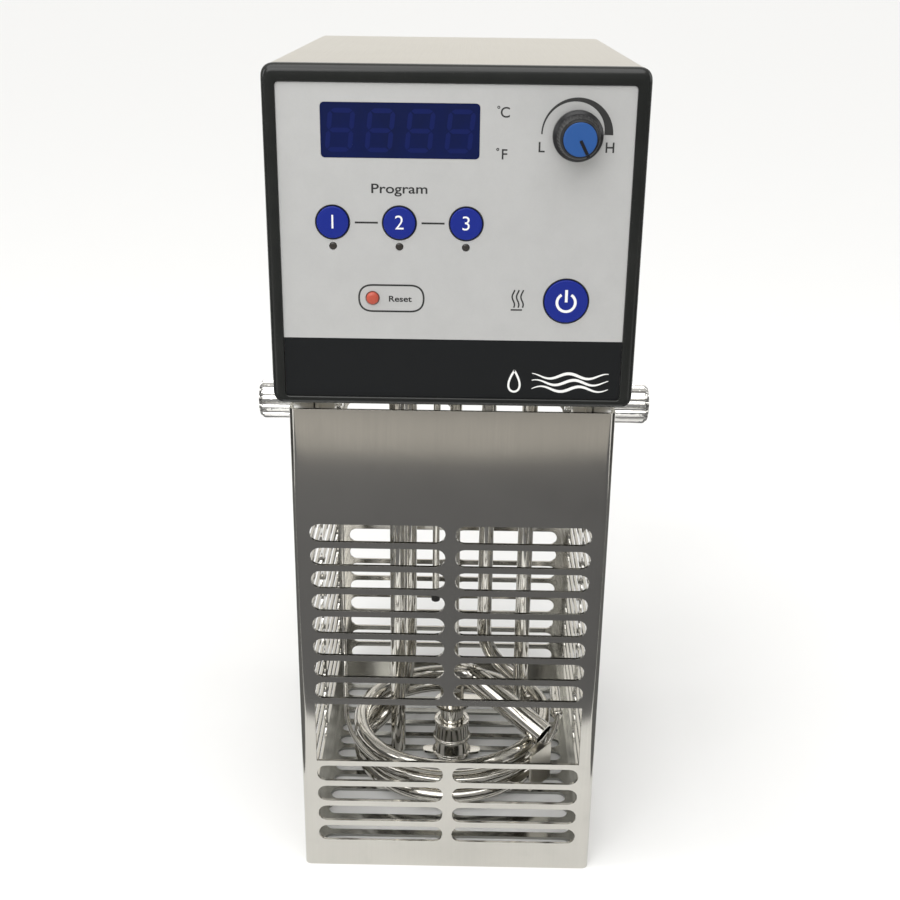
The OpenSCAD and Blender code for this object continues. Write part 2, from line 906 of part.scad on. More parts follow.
module heater_element() {
    path = heater_path();
    color("lightgray") sweep(path, heater_d / 2, 12, outward_hints(path));
}

module heater_terminals() {
    bead = 3;
    color("peachpuff")
    for (p = [riser_a, riser_b])
        translate([p[0], p[1], riser_top]) cylinder(r = 2.6, h = bead);
    color("silver")
    for (p = [riser_a, riser_b])
        translate([p[0] - 3, p[1] - 0.4, riser_top + bead]) cube([6, 0.8, 6]);
}

// A hexagon nut on the base plate and a flanged seat under it
module gland_nut(p, r, nut_r) {
    translate([p[0], p[1], deck_z])
        difference() {
            cylinder(r = nut_r, h = 4, $fn = 6);
            translate([0, 0, -eps]) cylinder(r = r, h = 5);
        }
    translate([p[0], p[1], base_z - 1.5]) tube(nut_r, r, 1.5);
}

module gland_nuts() {
    color("gray") {
        for (p = [riser_a, riser_b]) gland_nut(p, heater_d / 2 + 0.05, 7);
        for (p = [probe_at, rod_at]) gland_nut(p, 3.3, 6);
        gland_nut(level_at, 1.55, 4);
    }
}

module temperature_probe() {
    z0 = 4;
    color("gainsboro")
    translate([probe_at[0], probe_at[1], z0]) {
        sphere_end = 3.25;
        cylinder(r = sphere_end, h = deck_z + 9 - z0);
        translate([0, 0, -1]) cylinder(r1 = sphere_end - 1, r2 = sphere_end, h = 1);
    }
}

// A rod that carries the pump: its arm ends in a ring round the pump's riser
module support_rod() {
    z0 = 30;
    arm_t = 1.5;
    ring_r = pipe_d / 2 + 0.05;
    rod = [rod_at[0] - pump_x, rod_at[1]];
    color("gainsboro")
    translate([pump_x, 0, 0]) {
        translate([rod[0], rod[1], z0]) cylinder(r = 3.25, h = deck_z + 9 - z0);
        translate([0, 0, z0 - arm_t])
            linear_extrude(height = arm_t)
            difference() {
                union() {
                    circle(r = ring_r + 2.5);
                    translate([4, -2]) square([rod[0] - 4, 7]);
                    translate(rod) circle(r = 5);
                }
                circle(r = ring_r);
            }
    }
}

module level_probe() {
    color("silver")
    translate([level_at[0], level_at[1], level_tip_z + 4])
        cylinder(r = 1.5, h = deck_z + 9 - level_tip_z - 4);
}

module level_probe_tip() {
    color("black")
    translate([level_at[0], level_at[1], level_tip_z]) cylinder(r = 1.9, h = 4);
}

// Overheat sensor: a thin tube down the left, round the coil's front, to a bulb
sensor_low = 21.5;
sensor_high = 28;
sensor_sweep = 80;

function sensor_arc(a) =
    let (u = (a - 270) / sensor_sweep)
    [pump_x + sensor_r * cos(a), sensor_r * sin(a),
        sensor_low + (sensor_high - sensor_low) * pow(u, 4)];

function sensor_path() =
    let (top = [sensor_at[0], sensor_at[1], 60], start = sensor_arc(270 - sensor_sweep))
    concat(
        [[sensor_at[0], sensor_at[1], deck_z + 5]],
        [for (i = [0 : 5]) bezier(top, top - [0, 0, 16], start + [-1, 9, 3], start, i / 6)],
        [for (i = [0 : 24]) sensor_arc(270 + sensor_sweep * (i / 12 - 1))]);

module overheat_sensor() {
    path = sensor_path();
    last = sensor_arc(270 + sensor_sweep);
    color("silver") {
        sweep(path, 1, 8, outward_hints(path));
        translate(last) rotate([-90, 0, 0]) translate([0, 0, -0.6]) cylinder(r = 2.4, h = 26);
    }
}

// ---------------------------------------------------------------- clamp

// A lug under the head, inside the cage wall, with a threaded boss for the stud
module hanger(side) {
    mirror([side > 0 ? 0 : 1, 0, 0])
    difference() {
        union() {
            translate([lug_out - lug_t, -12, lug_z0]) cube([lug_t, 24, base_z - lug_z0]);
            translate([lug_out - 12, -12, base_z - lug_t]) cube([12, 24, lug_t]);
            translate([lug_out - lug_t - nut_t, 0, stud_z]) rotate([0, 90, 0])
                cylinder(r = 5.8, h = nut_t + 0.2, $fn = 6);
        }
        translate([lug_out - 20, 0, stud_z]) rotate([0, 90, 0]) cylinder(r = stud_d / 2 + fit, h = 30);
    }
}

module hanger_brackets() {
    color("silver") {
        hanger(1);
        hanger(-1);
    }
}

// A fluted thumb knob with its stud; built for the right side
module clamp_knob(side) {
    flutes = 14;
    r = knob_d / 2;
    color("whitesmoke")
    mirror([side > 0 ? 0 : 1, 0, 0])
    translate([knob_x, 0, stud_z]) rotate([0, 90, 0]) {
        difference() {
            rotate_extrude()
                polygon([[0, 0], [r - 2.4, 0], [r - 2.4, 2.2], [r - 1, 2.8], [r, 4],
                    [r, knob_len - 2.4], [r - 0.5, knob_len - 1.2], [r - 1.7, knob_len - 0.4],
                    [r - 3.5, knob_len], [0, knob_len]]);
            for (i = [0 : flutes - 1])
                rotate([0, 0, i * 360 / flutes]) translate([r + 0.55, 0, 2.6])
                    cylinder(r = 1.1, h = knob_len, $fn = 24);
        }
        translate([0, 0, lug_out - lug_t - nut_t - 3 - knob_x])
            cylinder(r = stud_d / 2, h = knob_x - lug_out + lug_t + nut_t + 3.1);
    }
}

module clamp_knob_left() { clamp_knob(-1); }

module clamp_knob_right() { clamp_knob(1); }

module clamp_washer(side) {
    color("silver")
    mirror([side > 0 ? 0 : 1, 0, 0])
    translate([washer_x, 0, stud_z]) rotate([0, 90, 0]) tube(7, stud_d / 2 + fit, washer_t);
}

module clamp_washer_left() { clamp_washer(-1); }

module clamp_washer_right() { clamp_washer(1); }

// ---------------------------------------------------------------- nodes

cage_front();
cage_left();
cage_right();
cage_back();
cage_floor();
base_plate();
head_cover();
rear_panel();
front_bezel();
front_plate();
front_overlay();
display_window();
display_module();
control_board();
board_standoffs();
button_switches();
program_leds();
dial_potentiometer();
reset_thermostat();
power_board();
heat_sink();
transformer();
motor_bracket();
motor_can();
motor_end_cap();
motor_stator();
motor_bearings();
shaft_seal();
heater_element();
heater_terminals();
gland_nuts();
temperature_probe();
level_probe();
level_probe_tip();
overheat_sensor();
support_rod();
pump_housing();
pump_outlet_pipe();
outlet_deflector();
hanger_brackets();
cable_gland();
case_screws();
drive_shaft();
motor_shaft();
motor_rotor();
cooling_fan();
shaft_coupling();
impeller();
dial_knob();
dial_cap();
dial_shaft();
program_button_1();
program_button_2();
program_button_3();
power_button();
reset_button();
clamp_washer_left();
clamp_washer_right();
clamp_knob_left();
clamp_knob_right();
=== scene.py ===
import json
import math

import bmesh
import bpy
import numpy as np
from mathutils import Matrix, Vector


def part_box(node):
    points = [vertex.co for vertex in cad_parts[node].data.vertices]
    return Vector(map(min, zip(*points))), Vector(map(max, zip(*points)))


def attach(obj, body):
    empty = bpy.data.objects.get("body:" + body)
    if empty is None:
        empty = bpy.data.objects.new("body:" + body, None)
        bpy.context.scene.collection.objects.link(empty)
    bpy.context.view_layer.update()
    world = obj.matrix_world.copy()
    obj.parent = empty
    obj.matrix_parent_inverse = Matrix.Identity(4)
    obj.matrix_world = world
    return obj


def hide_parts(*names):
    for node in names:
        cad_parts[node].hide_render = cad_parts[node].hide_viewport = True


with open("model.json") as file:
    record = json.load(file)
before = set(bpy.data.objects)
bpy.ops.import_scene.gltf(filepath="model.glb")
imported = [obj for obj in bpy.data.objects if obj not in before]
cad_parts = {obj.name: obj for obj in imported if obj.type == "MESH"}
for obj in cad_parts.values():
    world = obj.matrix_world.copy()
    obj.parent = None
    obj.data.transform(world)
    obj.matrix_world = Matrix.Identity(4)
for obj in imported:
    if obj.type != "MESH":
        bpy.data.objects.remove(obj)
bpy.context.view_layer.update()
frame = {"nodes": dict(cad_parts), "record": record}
MM = 0.001
print("the frame has", len(frame["nodes"]), "nodes")

# %% [markdown]
# A camera is an empty pose plus a lens. It stands half a metre in front of the object and
# looks down at it, as a buyer does at a table. The pose is given by three turns: down,
# to the side, and a slight roll. A matrix is used because it states all three at once.
# %% Camera
EYE = Vector((3.5, -482.8, 339.2)) * MM
LOOK_DOWN, LOOK_ASIDE, ROLL = 0.372, -0.010, 0.012
LENS = 49.9

forward = Vector((math.sin(LOOK_ASIDE) * math.cos(LOOK_DOWN),
                  math.cos(LOOK_ASIDE) * math.cos(LOOK_DOWN), -math.sin(LOOK_DOWN)))
level = Vector((math.cos(LOOK_ASIDE), -math.sin(LOOK_ASIDE), 0))
above = level.cross(forward)
side_axis = level * math.cos(ROLL) + above * math.sin(ROLL)
up_axis = above * math.cos(ROLL) - level * math.sin(ROLL)
camera = bpy.data.objects.new("camera", bpy.data.cameras.new("camera"))
camera.matrix_world = Matrix.Translation(EYE) @ Matrix((side_axis, up_axis, -forward)).transposed().to_4x4()
camera.data.lens = LENS
camera.data.clip_start = 0.01
bpy.context.scene.collection.objects.link(camera)
bpy.context.scene.camera = camera
print("camera", tuple(round(v, 3) for v in camera.location), "no cord shows, so none is made")

# %% [markdown]
# Every position below comes from the frame's boxes, in millimetres, because sheet metal
# is thought of in millimetres. These few measures are used by many pieces.
# %% Measures from the frame
def span(node):
    """Lowest and highest corner of a CAD node, in millimetres."""
    return [np.array(corner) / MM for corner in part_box(node)]


def middle(node):
    """Middle of a CAD node's box, in millimetres."""
    return sum(span(node)) / 2


cage_lo, cage_hi = span("cage_front")
wall_x, front_y, cage_top = cage_hi[0], cage_lo[1], cage_hi[2]
back_y = span("cage_back")[1][1]
sheet = span("cage_floor")[1][2]
bezel_lo, bezel_hi = span("front_bezel")
film_y = span("front_overlay")[0][1]
film_lo, film_hi = span("front_overlay")
head_top = bezel_hi[2]
pump_x = middle("drive_shaft")[0]
print("cage", 2 * wall_x, "wide,", cage_top, "high; head top at", round(head_top, 1))

# %% [markdown]
# A surface is a grid of points: rows along it and columns round it. All faces of a grid
# follow one rule, so they are worked out as whole arrays. A tube or a turned piece closes
# on itself round its columns, and a row that is a single point closes an end.
# %% Grids, rings and outlines
def grid_faces(rows, columns, closed_round=True):
    """Quads of a grid: each joins a point, the next in its row, and the two of the next row."""
    row = np.arange(rows - 1)[:, None]
    column = np.arange(columns if closed_round else columns - 1)[None, :]
    following = (column + 1) % columns
    corners = (row * columns + column, row * columns + following,
               (row + 1) * columns + following, (row + 1) * columns + column)
    return np.stack(np.broadcast_arrays(*corners), -1).reshape(-1, 4)


def skin(rows, closed_round=True):
    """A part made of rows of points, an array of shape (rows, columns, 3): its points and its faces."""
    rows = np.asarray(rows, float)
    return rows.reshape(-1, rows.shape[2]), grid_faces(rows.shape[0], rows.shape[1], closed_round)


def join(*parts):
    """Several parts as one: points stacked, each part's face numbers moved past those before."""
    starts = np.cumsum([0] + [len(points) for points, _ in parts[:-1]])
    return (np.concatenate([points for points, _ in parts]),
            [face + start for (_, faces), start in zip(parts, starts) for face in faces])


def unit(v):
    """Vectors divided by their lengths."""
    return v / np.linalg.norm(v, axis=-1, keepdims=True)


def rounded(corners, radius, steps=4, closed=False):
    """An outline with each corner p turned into the curve (1-t)^2 a + 2t(1-t) p + t^2 b.

    The curve's ends a and b lie on the outline, a radius away from the corner.
    """
    p = np.asarray(corners, float)
    back, ahead = np.roll(p, 1, 0) - p, np.roll(p, -1, 0) - p
    a = p + unit(back) * np.minimum(radius, np.linalg.norm(back, axis=1) / 2)[:, None]
    b = p + unit(ahead) * np.minimum(radius, np.linalg.norm(ahead, axis=1) / 2)[:, None]
    t = np.linspace(0, 1, steps + 1)[None, :, None]
    curve = (1 - t) ** 2 * a[:, None] + 2 * t * (1 - t) * p[:, None] + t ** 2 * b[:, None]
    if closed:
        return curve.reshape(-1, p.shape[1])
    return np.concatenate([p[:1], curve[1:-1].reshape(-1, p.shape[1]), p[-1:]])


def turned(profile, at=(0, 0, 0), axis=(0, 0, 1), columns=48, wave=None):
    """A profile of (radius, height) turned round an axis: at + r (cos a U + sin a V) + h A.

    A wave, a function of the angle and the height, may add to the radius.
    """
    axis = unit(np.array(axis, float))
    helper = np.array((1.0, 0, 0)) if abs(axis[0]) < 0.9 else np.array((0, 0, 1.0))
    u = unit(np.cross(axis, helper))
    v = np.cross(axis, u)
    angle = np.linspace(0, 2 * np.pi, columns, endpoint=False)[None, :]
    profile = np.asarray(profile, float)
    radius, height = profile[:, :1] + 0 * angle, profile[:, 1:] + 0 * angle
    if wave is not None:
        radius = radius + wave(angle, height) * (radius > 0)
    return skin(np.array(at, float) + (radius * np.cos(angle))[..., None] * u
                + (radius * np.sin(angle))[..., None] * v + height[..., None] * axis)


def rings(path, radius, hint, columns=20):
    """Rings square to a path: p + r (cos a S + sin a W).

    S is the hint made square to the path's direction, and W is square to both.
    """
    path = np.asarray(path, float)
    along = unit(np.gradient(path, axis=0))
    hint = np.broadcast_to(np.asarray(hint, float), path.shape)
    across = unit(hint - along * np.sum(hint * along, axis=1, keepdims=True))
    over = np.cross(along, across)
    angle = np.linspace(0, 2 * np.pi, columns, endpoint=False)[None, :, None]
    reach = np.broadcast_to(np.asarray(radius, float), len(path))[:, None, None]
    return path[:, None] + reach * (np.cos(angle) * across[:, None] + np.sin(angle) * over[:, None])


def rod(path, radius, hint, columns=20):
    """A solid rod along a path, each end closed to a point in its middle."""
    body = rings(path, radius, hint, columns)
    ends = [np.repeat(np.asarray(path, float)[i][None, None], columns, axis=1) for i in (0, -1)]
    return skin(np.concatenate([ends[0], body, ends[1]]))


def bezier(a, b, c, d, steps):
    """Points of a cubic curve from a to d, pulled towards b and c."""
    t = np.linspace(0, 1, steps)[:, None]
    a, b, c, d = (np.asarray(p, float) for p in (a, b, c, d))
    return (1 - t) ** 3 * a + 3 * t * (1 - t) ** 2 * b + 3 * t * t * (1 - t) * c + t ** 3 * d


def line(a, b, steps=2):
    """Evenly spaced points from a to b."""
    a, b = np.asarray(a, float), np.asarray(b, float)
    return a + np.linspace(0, 1, steps)[:, None] * (b - a)


def longest_rise(profile):
    """The number of the point where a profile's longest rise starts."""
    return int(np.argmax(np.abs(np.diff(profile[:, 1]))))


def refined(profile, start, steps):
    """A profile with the stretch after one of its points cut finer, for a wave to follow."""
    between = line(profile[start], profile[start + 1], steps)[1:-1]
    return np.concatenate([profile[:start + 1], between, profile[start + 1:]])


print("a ring of 8 has", len(grid_faces(2, 8)), "faces")

# %% [markdown]
# One function turns a part into a Blender object. It merges points that coincide, which
# closes seams and poles, and lets Blender turn all faces outwards on closed shapes. It
# marks edges sharper than 35 degrees, so that curves look smooth and corners stay crisp.
# %% Make a piece
SHARP = math.radians(35)
SAME_POINT, NO_LENGTH = 2e-6, 1e-7


def add_piece(name, part, finish, body, stands_for=(), closed=True):
    """Makes a part, in millimetres, an object that rides on a body and may stand for CAD nodes."""
    points, faces = part
    mesh = bpy.data.meshes.new(name)
    mesh.from_pydata((points * MM).tolist(), [], [list(map(int, face)) for face in faces])
    shape = bmesh.new()
    shape.from_mesh(mesh)
    bmesh.ops.remove_doubles(shape, verts=shape.verts, dist=SAME_POINT)
    bmesh.ops.dissolve_degenerate(shape, edges=shape.edges, dist=NO_LENGTH)
    if closed:
        bmesh.ops.recalc_face_normals(shape, faces=shape.faces)
    shape.to_mesh(mesh)
    shape.free()
    mesh.shade_smooth()
    mesh.set_sharp_from_angle(angle=SHARP)
    piece = bpy.data.objects.new(name, mesh)
    bpy.context.scene.collection.objects.link(piece)
    mesh.materials.append(finish)
    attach(piece, body)
    if stands_for:
        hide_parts(*stands_for)
    return piece


BROKEN_EDGE, EDGE_ANGLE = 0.18, math.radians(50)


def fold_sheet(piece, thickness):
    """Gives an open sheet its thickness, inwards from its outer face, and breaks its cut edges."""
    wall = piece.modifiers.new("wall", "SOLIDIFY")
    wall.thickness = thickness * MM
    wall.offset = -1
    wall.use_even_offset = True
    edges = piece.modifiers.new("broken edges", "BEVEL")
    edges.width = BROKEN_EDGE * MM
    edges.segments = 2
    edges.limit_method = "ANGLE"
    edges.angle_limit = EDGE_ANGLE
    edges.harden_normals = True
    return piece


print("pieces merge points closer than", SAME_POINT / MM, "mm")

# %% [markdown]
# Materials in Blender are graphs of nodes. Sums in a graph soon need many Math nodes, so
# a small class wraps a socket and lets Python's own signs add them. Another class holds
# one finish, and its single method adds any other node, settings first and inputs next.
# %% Shader arithmetic
class Value:
    """A number that varies over a surface. Arithmetic on it adds Math nodes."""

    def __init__(self, finish, socket):
        self.finish, self.socket = finish, socket

    def math(self, operation, *values):
        """One Math node, its operation given by Blender's name for it."""
        return self.finish.add("ShaderNodeMath", {"operation": operation}, dict(enumerate(values)))

    def __add__(self, other):
        return self.math("ADD", self, other)

    def __radd__(self, other):
        return self.math("ADD", other, self)

    def __sub__(self, other):
        return self.math("SUBTRACT", self, other)

    def __rsub__(self, other):
        return self.math("SUBTRACT", other, self)

    def __mul__(self, other):
        return self.math("MULTIPLY", self, other)

    def __rmul__(self, other):
        return self.math("MULTIPLY", other, self)

    def __truediv__(self, other):
        return self.math("DIVIDE", self, other)

    def __gt__(self, other):
        return self.math("GREATER_THAN", self, other)

    def __lt__(self, other):
        return self.math("LESS_THAN", self, other)

    def between(self, low, high):
        """0 below low, 1 above high, and a straight ramp between."""
        return self.finish.add("ShaderNodeMapRange", {"clamp": True},
                               {"Value": self, "From Min": low, "From Max": high})


class Finish:
    """One surface finish: a Principled shader and the nodes that vary it."""

    def __init__(self, name, colour, roughness, metallic=0.0, **sockets):
        self.material = bpy.data.materials.new(name)
        self.material.use_nodes = True
        self.tree = self.material.node_tree
        self.shader = self.tree.nodes["Principled BSDF"]
        self.material.diffuse_color = (*colour, 1)
        self.colour, self.roughness = (*colour, 1), roughness
        self.set("Base Color", self.colour)
        self.set("Roughness", roughness)
        self.set("Metallic", metallic)
        for socket, value in sockets.items():
            self.set(socket.replace("_", " "), value)
        self.bump_from = None

    def set(self, name, value):
        """Sets or links one of the shader's sockets."""
        self.feed(self.shader.inputs[name], value)

    def feed(self, socket, value):
        """Links a varying value to a socket, or sets a plain one on it."""
        if isinstance(value, Value):
            self.tree.links.new(value.socket, socket)
        else:
            socket.default_value = value

    def add(self, kind, settings=None, inputs=None, out=0):
        """Adds a node of a kind, with settings and the values or links of its inputs."""
        node = self.tree.nodes.new(kind)
        for name, value in (settings or {}).items():
            setattr(node, name, value)
        for name, value in (inputs or {}).items():
            self.feed(node.inputs[name], value)
        return Value(self, node.outputs[out])

    def place(self, stretch=(1, 1, 1)):
        """Object coordinates, in metres, multiplied by a stretch along each axis."""
        where = self.add("ShaderNodeTexCoord", out="Object")
        return self.add("ShaderNodeVectorMath", {"operation": "MULTIPLY"}, {0: where, 1: stretch})

    def axis(self, name):
        """One object coordinate, in millimetres."""
        return self.add("ShaderNodeSeparateXYZ", None, {"Vector": self.place()}, name) / MM

    def noise(self, size, stretch=(1, 1, 1), detail=3.0, rough=0.55):
        """Noise from 0 to 1 whose patches are about size millimetres across before the stretch."""
        inputs = {"Vector": self.place(stretch), "Scale": 1 / (size * MM),
                  "Detail": detail, "Roughness": rough}
        return self.add("ShaderNodeTexNoise", None, inputs)

    def cells(self, size):
        """Distance to the nearest of scattered points that are about size millimetres apart."""
        inputs = {"Vector": self.place(), "Scale": 1 / (size * MM)}
        return self.add("ShaderNodeTexVoronoi", None, inputs, "Distance")

    def tint(self, mask, colour, under=None):
        """The base colour, or the colour under it, turning to another colour where the mask is 1."""
        mixed = self.add("ShaderNodeMix", {"data_type": "RGBA"},
                         {0: mask, 6: self.colour if under is None else under, 7: (*colour, 1)}, 2)
        self.set("Base Color", mixed)
        return mixed

    def vary_roughness(self, mask, swing):
        """Roughness that runs half a swing either side of its base as the mask runs from 0 to 1."""
        self.set("Roughness", (mask - 0.5) * swing + self.roughness)

    def bump(self, height, depth):
        """Adds relief: height from 0 to 1 stands for depth millimetres."""
        inputs = {"Height": height, "Distance": depth * MM, "Strength": 1.0}
        if self.bump_from is not None:
            inputs["Normal"] = self.bump_from
        self.bump_from = self.add("ShaderNodeBump", None, inputs)
        self.set("Normal", self.bump_from)


print("shader arithmetic is ready")

# %% [markdown]
# Stainless sheet is brushed with a belt, which leaves long fine lines. Stretched noise
# gives them: patches a few centimetres long and a fraction of a millimetre across. They
# run up and down the cage. They vary the colour, the roughness and a very shallow relief,
# and handling adds faint cloudy smudges. Other metals and plastics get recipes like it.
# %% Steel and other metals
LINE_LENGTH = 40


def darker(colour, share):
    """A colour multiplied by a share."""
    return tuple(share * part for part in colour)


def brushed(name, colour, roughness, grain_axis=2, grain=0.35, smudge=0.10, depth=0.0015):
    """Metal with belt lines along one axis: the noise is stretched along it."""
    finish = Finish(name, colour, roughness, 1.0)
    stretch = [1.0, 1.0, 1.0]
    stretch[grain_axis] = grain / LINE_LENGTH
    lines = finish.noise(grain, stretch, detail=4, rough=0.6)
    cloud = finish.noise(38, detail=4, rough=0.5)
    wear = finish.noise(7, detail=2, rough=0.5).between(0.6, 0.75)
    finish.vary_roughness(lines * 0.6 + cloud * 0.4, 0.4 * roughness)
    stain = cloud.between(0.35, 0.7) * smudge + lines.between(0.35, 0.75) * 0.16 + wear * smudge * 0.5
    finish.tint(stain, darker(colour, 0.72))
    finish.bump(lines, depth)
    return finish.material


WATER_SPOTS = 0.3


def polished(name, colour, roughness, ripple=22, depth=0.006):
    """Drawn or plated metal: nearly a mirror, with slow waves and a few fine water spots."""
    finish = Finish(name, colour, roughness, 1.0)
    waves = finish.noise(ripple, detail=2, rough=0.4)
    spots = finish.cells(5).between(0.22, 0.05)
    haze = finish.noise(3, detail=4, rough=0.6)
    finish.vary_roughness(haze * 0.7 + spots * WATER_SPOTS, 0.08)
    finish.tint(haze.between(0.4, 0.8) * 0.15 + spots * WATER_SPOTS * 0.3, darker(colour, 0.75))
    finish.bump(waves, depth)
    return finish.material


def cast(name, colour, roughness, metallic=1.0, size=1.2, depth=0.03):
    """Cast, plated or blasted metal: an even grain and darker pores."""
    finish = Finish(name, colour, roughness, metallic)
    grain = finish.noise(size, detail=5, rough=0.65)
    patches = finish.noise(22, detail=3, rough=0.5)
    finish.vary_roughness(grain * 0.5 + patches * 0.5, 0.25)
    pores = grain.between(0.55, 0.75) * 0.35 + patches.between(0.4, 0.8) * 0.2
    finish.tint(pores, darker(colour, 0.6))
    finish.bump(grain, depth)
    return finish.material


DUST = (0.55, 0.54, 0.5)


def moulded(name, colour, roughness, size=0.5, depth=0.008, dust=0.05, light=DUST, **sockets):
    """Moulded or painted plastic: a fine even texture and a trace of dust in cloudy patches."""
    finish = Finish(name, colour, roughness, 0.0, **sockets)
    grain = finish.noise(size, detail=3, rough=0.6)
    patches = finish.noise(26, detail=4, rough=0.6)
    flecks = finish.noise(1.1, detail=2, rough=0.5).between(0.66, 0.76)
    finish.vary_roughness(grain * 0.4 + patches * 0.6, 0.16)
    finish.tint(patches.between(0.35, 0.85) * dust + flecks * dust, light)
    finish.bump(grain, depth)
    return finish.material


print("metal and plastic recipes are ready")

# %% [markdown]
# Each material slot of the record gets one finish. The front film is a special case: it is
# silver, but its lower part is printed black, so a mask on height changes the colour. The
# display window hides a lamp module behind dark blue plastic. The circuit boards have
# copper tracks under green lacquer, and the windings are rows of fine wire.
# %% Finishes
BAND_TOP = film_lo[2] + 20.5
FILM_METAL = 0.35
WIRE = 0.8


def film_finish(name, colour):
    """Printed polyester film: fine grain, slow ripples where it is glued, and a black band below."""
    finish = Finish(name, colour, 0.36, FILM_METAL, Specular_IOR_Level=0.32)
    grain = finish.noise(0.5, detail=3, rough=0.6)
    mottle = finish.noise(9, detail=4, rough=0.55)
    band = (finish.axis("Z") < BAND_TOP) * (finish.axis("Y") < film_y + 0.05)
    worn = mottle.between(0.35, 0.75) * 0.22 + grain.between(0.4, 0.8) * 0.10
    silver = finish.tint(worn, darker(colour, 0.78))
    finish.tint(band, (0.009, 0.010, 0.011), silver)
    finish.set("Metallic", (1 - band) * FILM_METAL)
    finish.set("Roughness", grain * 0.08 + mottle * 0.08 + 0.28)
    finish.bump(mottle, 0.02)
    finish.bump(grain, 0.004)
    return finish.material


def board_finish(name, colour):
    """Green lacquer over copper tracks: bands where two stretched noises cross a level."""
    finish = Finish(name, colour, 0.3, 0.0, Coat_Weight=0.3)
    tracks = finish.noise(2.5, (0.15, 1, 1), detail=0, rough=0.5).between(0.52, 0.54)
    vias = finish.cells(4).between(0.14, 0.10)
    copper = tracks.math("MINIMUM", tracks + vias, 1.0)
    finish.tint(copper * 0.6, (0.20, 0.32, 0.08))
    finish.vary_roughness(finish.noise(3), 0.2)
    finish.bump(tracks, 0.03)
    return finish.material


def wound_finish(name, colour):
    """Enamelled wire in close turns: a sine of height gives each turn its round back, and its darker half is
    painted shade in the grooves between turns.
    """
    finish = Finish(name, colour, 0.28, 0.8)
    phase = finish.axis("Z") * (2 * math.pi / WIRE)
    turns = phase.math("SINE", phase) * 0.5 + 0.5
    # The darker half of each turn is painted shade in the groove between wires.
    finish.tint(turns.between(0.2, 0.7) * 0.5, darker(colour, 0.35))
    finish.vary_roughness(turns, 0.2)
    finish.bump(turns, 0.15)
    return finish.material


def window_finish(name, colour):
    """Deep blue plastic, glossy on top; the dark lamp module behind it shows as cloudy patches."""
    finish = Finish(name, colour, 0.14, 0.0, Specular_IOR_Level=0.35)
    deep = finish.noise(8, (1, 1, 0.5), detail=2, rough=0.5)
    finish.tint(deep.between(0.35, 0.75) * 0.5, (0.005, 0.009, 0.035))
    finish.vary_roughness(finish.noise(4), 0.06)
    finish.bump(finish.noise(14), 0.01)
    return finish.material


finishes = {
    "brushed_stainless": brushed("brushed stainless", (0.575, 0.56, 0.52), 0.105, smudge=0.30),
    "satin_stainless": brushed("satin stainless", (0.76, 0.73, 0.66), 0.34, grain_axis=1, smudge=0.06),
    "polished_stainless": polished("polished stainless", (0.70, 0.68, 0.63), 0.09),
    "chrome_knob": polished("chrome knob", (0.88, 0.87, 0.84), 0.12, ripple=2.2, depth=0.12),
    "gloss_black": moulded("gloss black enamel", (0.012, 0.013, 0.012), 0.24,
                           size=0.35, depth=0.005, dust=0.015,
                           Coat_Weight=0.1, Coat_Roughness=0.15, Specular_IOR_Level=0.35),
    "silver_film": film_finish("silver film", (0.61, 0.61, 0.60)),
    "blue_window": window_finish("blue window", (0.004, 0.009, 0.060)),
    "module_black": moulded("lamp module plastic", (0.02, 0.02, 0.022), 0.5),
    "circuit_board": board_finish("circuit board", (0.012, 0.10, 0.035)),
    "brass_parts": cast("brass", (0.70, 0.50, 0.22), 0.28, size=0.8, depth=0.01),
    "led_dark": moulded("unlit lamp lens", (0.030, 0.026, 0.022), 0.16,
                        size=0.3, depth=0.004, dust=0.02, Coat_Weight=0.6),
    "zinc_parts": cast("zinc plate", (0.62, 0.63, 0.64), 0.32, size=2.5, depth=0.015),
    "phenolic_brown": moulded("phenolic", (0.09, 0.035, 0.014), 0.35, size=0.8, depth=0.015, dust=0.06),
    "black_aluminium": cast("anodised aluminium", (0.03, 0.03, 0.033), 0.42,
                            metallic=0.6, size=0.6, depth=0.01),
    "laminations": brushed("lamination stack", (0.28, 0.27, 0.27), 0.45, grain_axis=0, grain=0.5, depth=0.05),
    "cast_aluminium": cast("cast aluminium", (0.50, 0.50, 0.50), 0.48, size=1.0, depth=0.05),
    "copper_winding": wound_finish("copper winding", (0.62, 0.24, 0.09)),
    "bearing_steel": polished("bearing steel", (0.66, 0.66, 0.67), 0.16, ripple=6, depth=0.008),
    "black_rubber": moulded("black rubber", (0.018, 0.018, 0.018), 0.62, size=0.7, depth=0.03, dust=0.10),
    "ceramic_white": moulded("ceramic", (0.78, 0.74, 0.66), 0.45,
                             size=0.6, depth=0.02, dust=0.12, light=(0.45, 0.36, 0.25)),
    "matte_black": moulded("black nylon", (0.022, 0.022, 0.023), 0.5, size=0.6, depth=0.02, dust=0.06),
    "aluminium_sheet": brushed("aluminium sheet", (0.75, 0.75, 0.74), 0.34),
    "knob_black": moulded("knob black", (0.010, 0.010, 0.011), 0.30,
                          size=0.4, depth=0.008, dust=0.01, Specular_IOR_Level=0.35),
    "dial_blue": moulded("dial blue", (0.008, 0.075, 0.28), 0.42,
                         size=0.45, depth=0.012, dust=0.02, light=(0.2, 0.3, 0.5)),
    "button_blue": moulded("button blue", (0.006, 0.018, 0.22), 0.34,
                           size=0.5, depth=0.006, dust=0.02, light=(0.06, 0.09, 0.35),
                           Specular_IOR_Level=0.3),
    "reset_red": moulded("reset red", (0.44, 0.07, 0.04), 0.35,
                         size=0.3, depth=0.008, dust=0.06, light=(0.6, 0.3, 0.2)),
}
print_black = moulded("printing ink black", (0.020, 0.020, 0.020), 0.5, size=0.3, depth=0.003, dust=0.05)
print_white = moulded("printing ink white", (0.82, 0.82, 0.80), 0.45,
                      size=0.3, depth=0.003, dust=0.06, light=(0.55, 0.57, 0.6))
